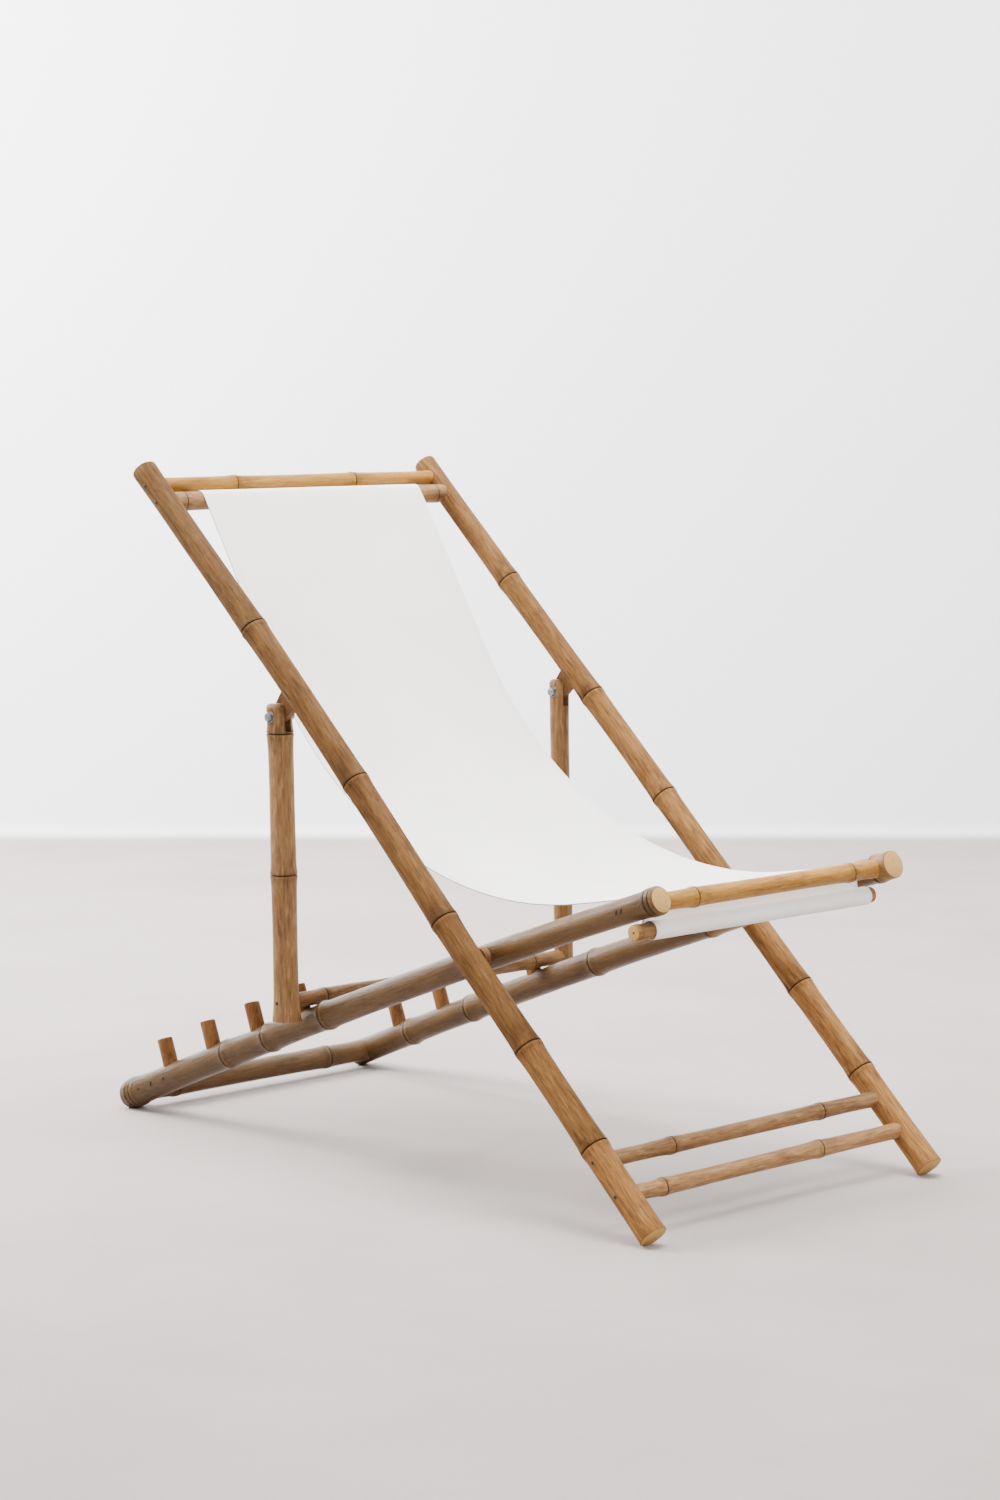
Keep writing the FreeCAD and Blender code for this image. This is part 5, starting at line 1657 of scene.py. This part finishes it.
class RECLINER_OT_materials(bpy.types.Operator):
    """Builds the materials of every piece"""

    bl_idname = "recliner.materials"
    bl_label = "Materials"

    # Fibre, streak, cloud, fleck and smoke with painted shade, then roughness where clean and where worn,
    # coat and gloss.
    CULMS = {
        "Peeled bamboo": ("peeled", 0.50, 0.14, 0.34, 0.50, 0.80, 0.50, 0.66, 0.00, 0.05),
        "Smooth bamboo": ("smooth", 0.24, 0.16, 0.30, 0.36, 0.50, 0.28, 0.44, 0.06, 0.14),
        "Thin bamboo": ("thin", 0.38, 0.18, 0.34, 0.50, 0.55, 0.42, 0.58, 0.02, 0.14),
        "Yellow bamboo": ("yellow", 0.34, 0.20, 0.28, 0.48, 0.65, 0.40, 0.56, 0.02, 0.12),
    }
    COAT_ROUGHNESS = 0.34
    # A ring's dark beside the streaks' own, and its groove's depth beside the fibres'.
    RING_DARK = 0.6
    RING_DEPTH = 1.2
    # Colour, stretch of the fibres, and roughness where clean.
    WOODS = {
        "Peg wood": ("peg", (0.8, 0.8, 1.0), 0.42),
        "Tongue wood": ("peg", (1.2, 0.25, 0.25), 0.5),
        "Spacer wood": ("spacer", (0.5, 1.0, 1.0), 0.5),
        "Dowel wood": ("dowel", (1.0, 1.0, 1.0), 0.5),
    }
    WOOD_FIBRES = {"Fibre": 0.30, "Streak": 0.40, "Cloud": 0.26, "Fleck": 0.50}
    WOOD_WORN = 0.14
    WOOD_GLOSS = 0.12
    # Speckled grain on a dowel's sawn end.
    SPECKLES = (((420.0, 420.0, 420.0), 4.0, 0.6), 0.42, 0.68)
    SPECKLE_SHARE = 0.5
    # Colour, metal, and roughness where clean and where worn.
    METALS = {"Steel": ("steel", 0.9, 0.30, 0.48), "Iron": ("iron", 0.5, 0.45, 0.7)}
    # Stains on metal, where they show, how dark they are, and where they make it rougher.
    STAINS = (320.0, 4.0, 0.6)
    STAIN_FADE = (0.5, 0.75)
    STAIN_DARK = 0.45
    STAIN_ROUGH = (0.3, 0.7)
    # Roughness and sheen of the canvas.
    CLOTH = {"Roughness": 0.86, "Sheen Weight": 0.12, "Sheen Roughness": 0.5}
    # Distance and strength of the bumps.
    CULM_BUMP = (0.0006, 0.6)
    WOOD_BUMP = (0.0003, 0.5)
    CLOTH_BUMP = (0.00012, 0.5)

    def culm_material(self, name, fibres, rings, paint):
        stem, fibre, streak, cloud, fleck, smoke_and_shade, glossy, dull, coat, gloss = self.CULMS[name]
        wiring, surface = shader(name)
        place = wiring.stored("culm_place", "Vector")
        dark = getattr(paint, stem + "_dark")
        base = use(wiring, fibres, {
            "Place": place, "Colour": rgba(getattr(paint, stem)), "Dark": rgba(dark),
            "Pale": rgba(getattr(paint, stem + "_pale")), "Tone": wiring.stored("internode_tone"),
            "Fibre": fibre, "Streak": streak, "Cloud": cloud, "Fleck": fleck,
        })
        marked = use(wiring, rings, {
            "Colour": base["Colour"], "Dark": rgba([self.RING_DARK * part for part in dark]),
            "Sawn": rgba(paint.sawn), "Place": place, "Smoke": smoke_and_shade,
        })
        wiring.feed(marked["Colour"], surface["Base Color"])
        wiring.feed(wiring.span(base["Wear"], 0.0, 1.0, glossy, dull), surface["Roughness"])
        height = wiring.maths("MULTIPLY_ADD", marked["Height"], self.RING_DEPTH, base["Height"])
        wiring.feed(bump(wiring, height, *self.CULM_BUMP), surface["Normal"])
        wiring.feed(gloss, surface["Specular IOR Level"])
        wiring.feed(coat, surface["Coat Weight"])
        wiring.feed(self.COAT_ROUGHNESS, surface["Coat Roughness"])

    def wood_material(self, name, fibres, paint, place):
        stem, scale, glossy = self.WOODS[name]
        wiring, surface = shader(name)
        if place:
            source = wiring.stored(place, "Vector")
        else:
            source = wiring.node("ShaderNodeTexCoord").outputs["Object"]
        made = use(wiring, fibres, {
            "Place": wiring.stretch(source, scale), "Colour": rgba(getattr(paint, stem)),
            "Dark": rgba(paint.peg_dark), "Pale": rgba(paint.peg_pale), **self.WOOD_FIBRES,
        })
        worn = wiring.span(made["Wear"], 0.0, 1.0, glossy, glossy + self.WOOD_WORN)
        wiring.feed(made["Colour"], surface["Base Color"])
        wiring.feed(worn, surface["Roughness"])
        wiring.feed(bump(wiring, made["Height"], *self.WOOD_BUMP), surface["Normal"])
        wiring.feed(self.WOOD_GLOSS, surface["Specular IOR Level"])
        return wiring, surface, made

    def dowel_material(self, name, fibres, paint):
        """Peeled stick with a speckled grain on its sawn ends."""
        wiring, surface, made = self.wood_material(name, fibres, paint, "culm_place")
        grain = wiring.layer(wiring.stored("culm_place", "Vector"), *self.SPECKLES)
        grain = wiring.maths("MULTIPLY", grain, self.SPECKLE_SHARE)
        cut = wiring.blend(grain, rgba(paint.sawn), rgba(paint.peg))
        mask = wiring.span(wiring.stored("sawn_end"), *SAWN_FADE)
        wiring.feed(wiring.blend(mask, made["Colour"], cut), surface["Base Color"])

    def canvas_material(self, name, base, weave):
        wiring, surface = shader(name)
        cloth = wiring.node("ShaderNodeUVMap", uv_map="cloth").outputs["UV"]
        made = use(wiring, weave, {"Cloth": cloth, "Colour": rgba(base), "Yarn": YARN})
        wiring.feed(made["Colour"], surface["Base Color"])
        wiring.feed(bump(wiring, made["Height"], *self.CLOTH_BUMP), surface["Normal"])
        for socket, value in self.CLOTH.items():
            wiring.feed(value, surface[socket])

    def metal_material(self, name, paint):
        stem, metallic, glossy, dull = self.METALS[name]
        base = getattr(paint, stem)
        wiring, surface = shader(name)
        stain = wiring.speckle(wiring.node("ShaderNodeTexCoord").outputs["Object"], *self.STAINS)
        dark = rgba([self.STAIN_DARK * part for part in base])
        worn = wiring.blend(wiring.span(stain, *self.STAIN_FADE), rgba(base), dark)
        wiring.feed(worn, surface["Base Color"])
        wiring.feed(metallic, surface["Metallic"])
        wiring.feed(wiring.span(stain, *self.STAIN_ROUGH, glossy, dull), surface["Roughness"])

    def execute(self, context):
        paint = sizes("paint")
        fibres, rings, weave = fibre_group(), ring_group(), weave_group()
        for name in self.CULMS:
            self.culm_material(name, fibres, rings, paint)
        for name in ("Peg wood", "Tongue wood", "Spacer wood"):
            self.wood_material(name, fibres, paint, None)
        self.dowel_material("Dowel wood", fibres, paint)
        self.canvas_material("Canvas", paint.canvas, weave)
        # The rim's canvas is painted darker: painted shade on the cloth's edge.
        self.canvas_material("Canvas edge", paint.canvas_edge, weave)
        for name in self.METALS:
            self.metal_material(name, paint)
        return {"FINISHED"}


class RECLINER_OT_stage(bpy.types.Operator):
    """Builds the pale floor and wall, the studio light and the camera"""

    bl_idname = "recliner.stage"
    bl_label = "Stage"

    # Height of the wall and steps of the cove below it.
    WALL_HEIGHT = 5.0
    COVE_STEPS = 8
    # Floor: broad and fine mottles as scale, detail and roughness, where they fade in, the paler tone
    # of the broad ones and the share of the fine ones.
    MOTTLES = (2.4, 6.0, 0.62)
    MOTTLE_FADE = (0.3, 0.7)
    MOTTLE_PALE = 1.14
    FINE_MOTTLES = (38.0, 4.0, 0.6)
    FINE_FADE = (0.4, 0.7)
    FINE_SHARE = 0.2
    # Heights between which the floor turns into the wall, then roughness and bumps.
    WALL_FADE = (0.006, 0.03)
    ROUGHNESS = 0.75
    BUMP = (0.001, 0.15)
    # Place, aim, size and power of the lamps about the chair.
    LAMPS = {
        "overhead": ((0.3, -0.2, 4.2), (0, 0, 0), (2.4, 2.4), 440),
        "front": ((-0.4, -4.2, 3.6), (0, 0, 0.4), (3.0, 2.4), 180),
        "side": ((-4.4, 0.6, 3.2), (0, 0, 0.5), (2.2, 2.2), 50),
    }
    # Side and power of the lamps that light the wall, how far ahead, aside and up they stand, how far
    # aside and up they aim, and their size.
    WALL_LAMPS = {"wall left": (1, 620), "wall right": (-1, 70)}
    LAMP_AHEAD = 1.1
    LAMP_ASIDE = 2.7
    LAMP_UP = 2.6
    AIM_ASIDE = 1.0
    AIM_UP = 1.0
    LAMP_SIZE = (2.0, 2.0)
    DAYLIGHT = (0.95, 0.97, 1.0)
    DAYLIGHT_STRENGTH = 0.85

    def lamp(self, name, place, aim, size, power):
        data = bpy.data.lights.new(name, "AREA")
        data.shape = "RECTANGLE"
        data.size, data.size_y = size
        data.energy = power
        lamp = bpy.data.objects.new(name, data)
        bpy.context.scene.collection.objects.link(lamp)
        lamp.location = place
        lamp.rotation_euler = (Vector(aim) - Vector(place)).to_track_quat("-Z", "Y").to_euler()

    def backdrop(self, stage):
        """Floor and wall as one sheet with a round cove, square to the camera."""
        bm = bmesh.new()
        reach, wall, cove = stage.room, stage.wall, stage.cove
        profile = [(-reach, 0.0), (wall - cove, 0.0)]
        for step in range(1, self.COVE_STEPS + 1):
            angle = math.pi / 2 * step / self.COVE_STEPS
            profile.append((wall - cove + cove * math.sin(angle), cove - cove * math.cos(angle)))
        profile.append((wall, self.WALL_HEIGHT))
        points = [bm.verts.new((-reach, y, z)) for y, z in profile]
        edges = [bm.edges.new(pair) for pair in zip(points, points[1:])]
        made = bmesh.ops.extrude_edge_only(bm, edges=edges)["geom"]
        verts = [item for item in made if isinstance(item, bmesh.types.BMVert)]
        bmesh.ops.translate(bm, verts=verts, vec=(2 * reach, 0, 0))
        bmesh.ops.recalc_face_normals(bm, faces=bm.faces)
        placed(bm, Matrix.Rotation(-stage.turn, 4, "Z"))
        return new_object("backdrop", bm, "Studio floor")

    def paint_backdrop(self, paint):
        """Greyish floor with a whiter wall above it."""
        wiring, surface = shader("Studio floor")
        source = wiring.node("ShaderNodeTexCoord").outputs["Object"]
        mottle = wiring.span(wiring.speckle(source, *self.MOTTLES), *self.MOTTLE_FADE)
        fine = wiring.speckle(source, *self.FINE_MOTTLES)
        base = rgba(paint.floor)
        pale = rgba([self.MOTTLE_PALE * part for part in paint.floor])
        floor = wiring.blend(mottle, base, pale)
        share = wiring.maths("MULTIPLY", wiring.span(fine, *self.FINE_FADE), self.FINE_SHARE)
        floor = wiring.blend(share, floor, base)
        height = wiring.node("ShaderNodeSeparateXYZ", {"Vector": source}).outputs["Z"]
        shade = wiring.blend(wiring.span(height, *self.WALL_FADE), floor, rgba(paint.wall))
        wiring.feed(shade, surface["Base Color"])
        wiring.feed(bump(wiring, fine, *self.BUMP), surface["Normal"])
        wiring.feed(self.ROUGHNESS, surface["Roughness"])

    def light(self, stage):
        """Lamps about the chair and on the wall, in soft daylight."""
        ahead = Vector((math.sin(stage.turn), math.cos(stage.turn), 0.0))
        left = Vector((-ahead.y, ahead.x, 0.0))
        for name, (place, aim, size, power) in self.LAMPS.items():
            self.lamp(name, place, aim, size, power)
        for name, (way, power) in self.WALL_LAMPS.items():
            place = ahead * self.LAMP_AHEAD + left * way * self.LAMP_ASIDE + Vector((0, 0, self.LAMP_UP))
            aim = ahead * stage.wall + left * way * self.AIM_ASIDE + Vector((0, 0, self.AIM_UP))
            self.lamp(name, place, aim, self.LAMP_SIZE, power)
        world = bpy.data.worlds.new("Soft daylight")
        bpy.context.scene.world = world
        world.use_nodes = True
        daylight = world.node_tree.nodes["Background"]
        daylight.inputs["Color"].default_value = rgba(self.DAYLIGHT)
        daylight.inputs["Strength"].default_value = self.DAYLIGHT_STRENGTH

    def execute(self, context):
        stage, paint = sizes("stage"), sizes("paint")
        self.paint_backdrop(paint)
        self.backdrop(stage)
        self.light(stage)
        data = bpy.data.cameras.new("camera")
        data.lens = stage.lens
        camera = bpy.data.objects.new("camera", data)
        bpy.context.scene.collection.objects.link(camera)
        camera.location = stage.camera
        camera.rotation_euler = (math.pi / 2 - stage.dip, 0.0, -stage.turn)
        bpy.context.scene.camera = camera
        return {"FINISHED"}


OPERATORS = (
    RECLINER_OT_materials,
    RECLINER_OT_long_poles,
    RECLINER_OT_seat_poles,
    RECLINER_OT_rails,
    RECLINER_OT_struts,
    RECLINER_OT_pegs,
    RECLINER_OT_fasteners,
    RECLINER_OT_dowels,
    RECLINER_OT_tongues,
    RECLINER_OT_sling,
    RECLINER_OT_stage,
)


class RECLINER_PT_sidebar(bpy.types.Panel):
    """Lists the steps and sizes of the recliner"""

    bl_idname = "RECLINER_PT_sidebar"
    bl_label = "Recliner"
    bl_space_type = "VIEW_3D"
    bl_region_type = "UI"
    bl_category = "Recliner"

    def draw(self, context):
        for operator in OPERATORS:
            self.layout.operator(operator.bl_idname)
        for group, kind in GROUPS.items():
            box = self.layout.box()
            box.label(text=group.capitalize())
            for name in kind.__annotations__:
                box.prop(sizes(group), name)


def register():
    for kind in (*GROUPS.values(), *OPERATORS, RECLINER_PT_sidebar):
        bpy.utils.register_class(kind)
    for group, kind in GROUPS.items():
        setattr(bpy.types.Scene, "recliner_" + group, bpy.props.PointerProperty(type=kind))


def unregister():
    for group in GROUPS:
        delattr(bpy.types.Scene, "recliner_" + group)
    for kind in (RECLINER_PT_sidebar, *reversed(OPERATORS), *reversed(GROUPS.values())):
        bpy.utils.unregister_class(kind)


def main():
    register()
    for operator in OPERATORS:
        family, name = operator.bl_idname.split(".")
        getattr(getattr(bpy.ops, family), name)()


if __name__ == "__main__":
    main()
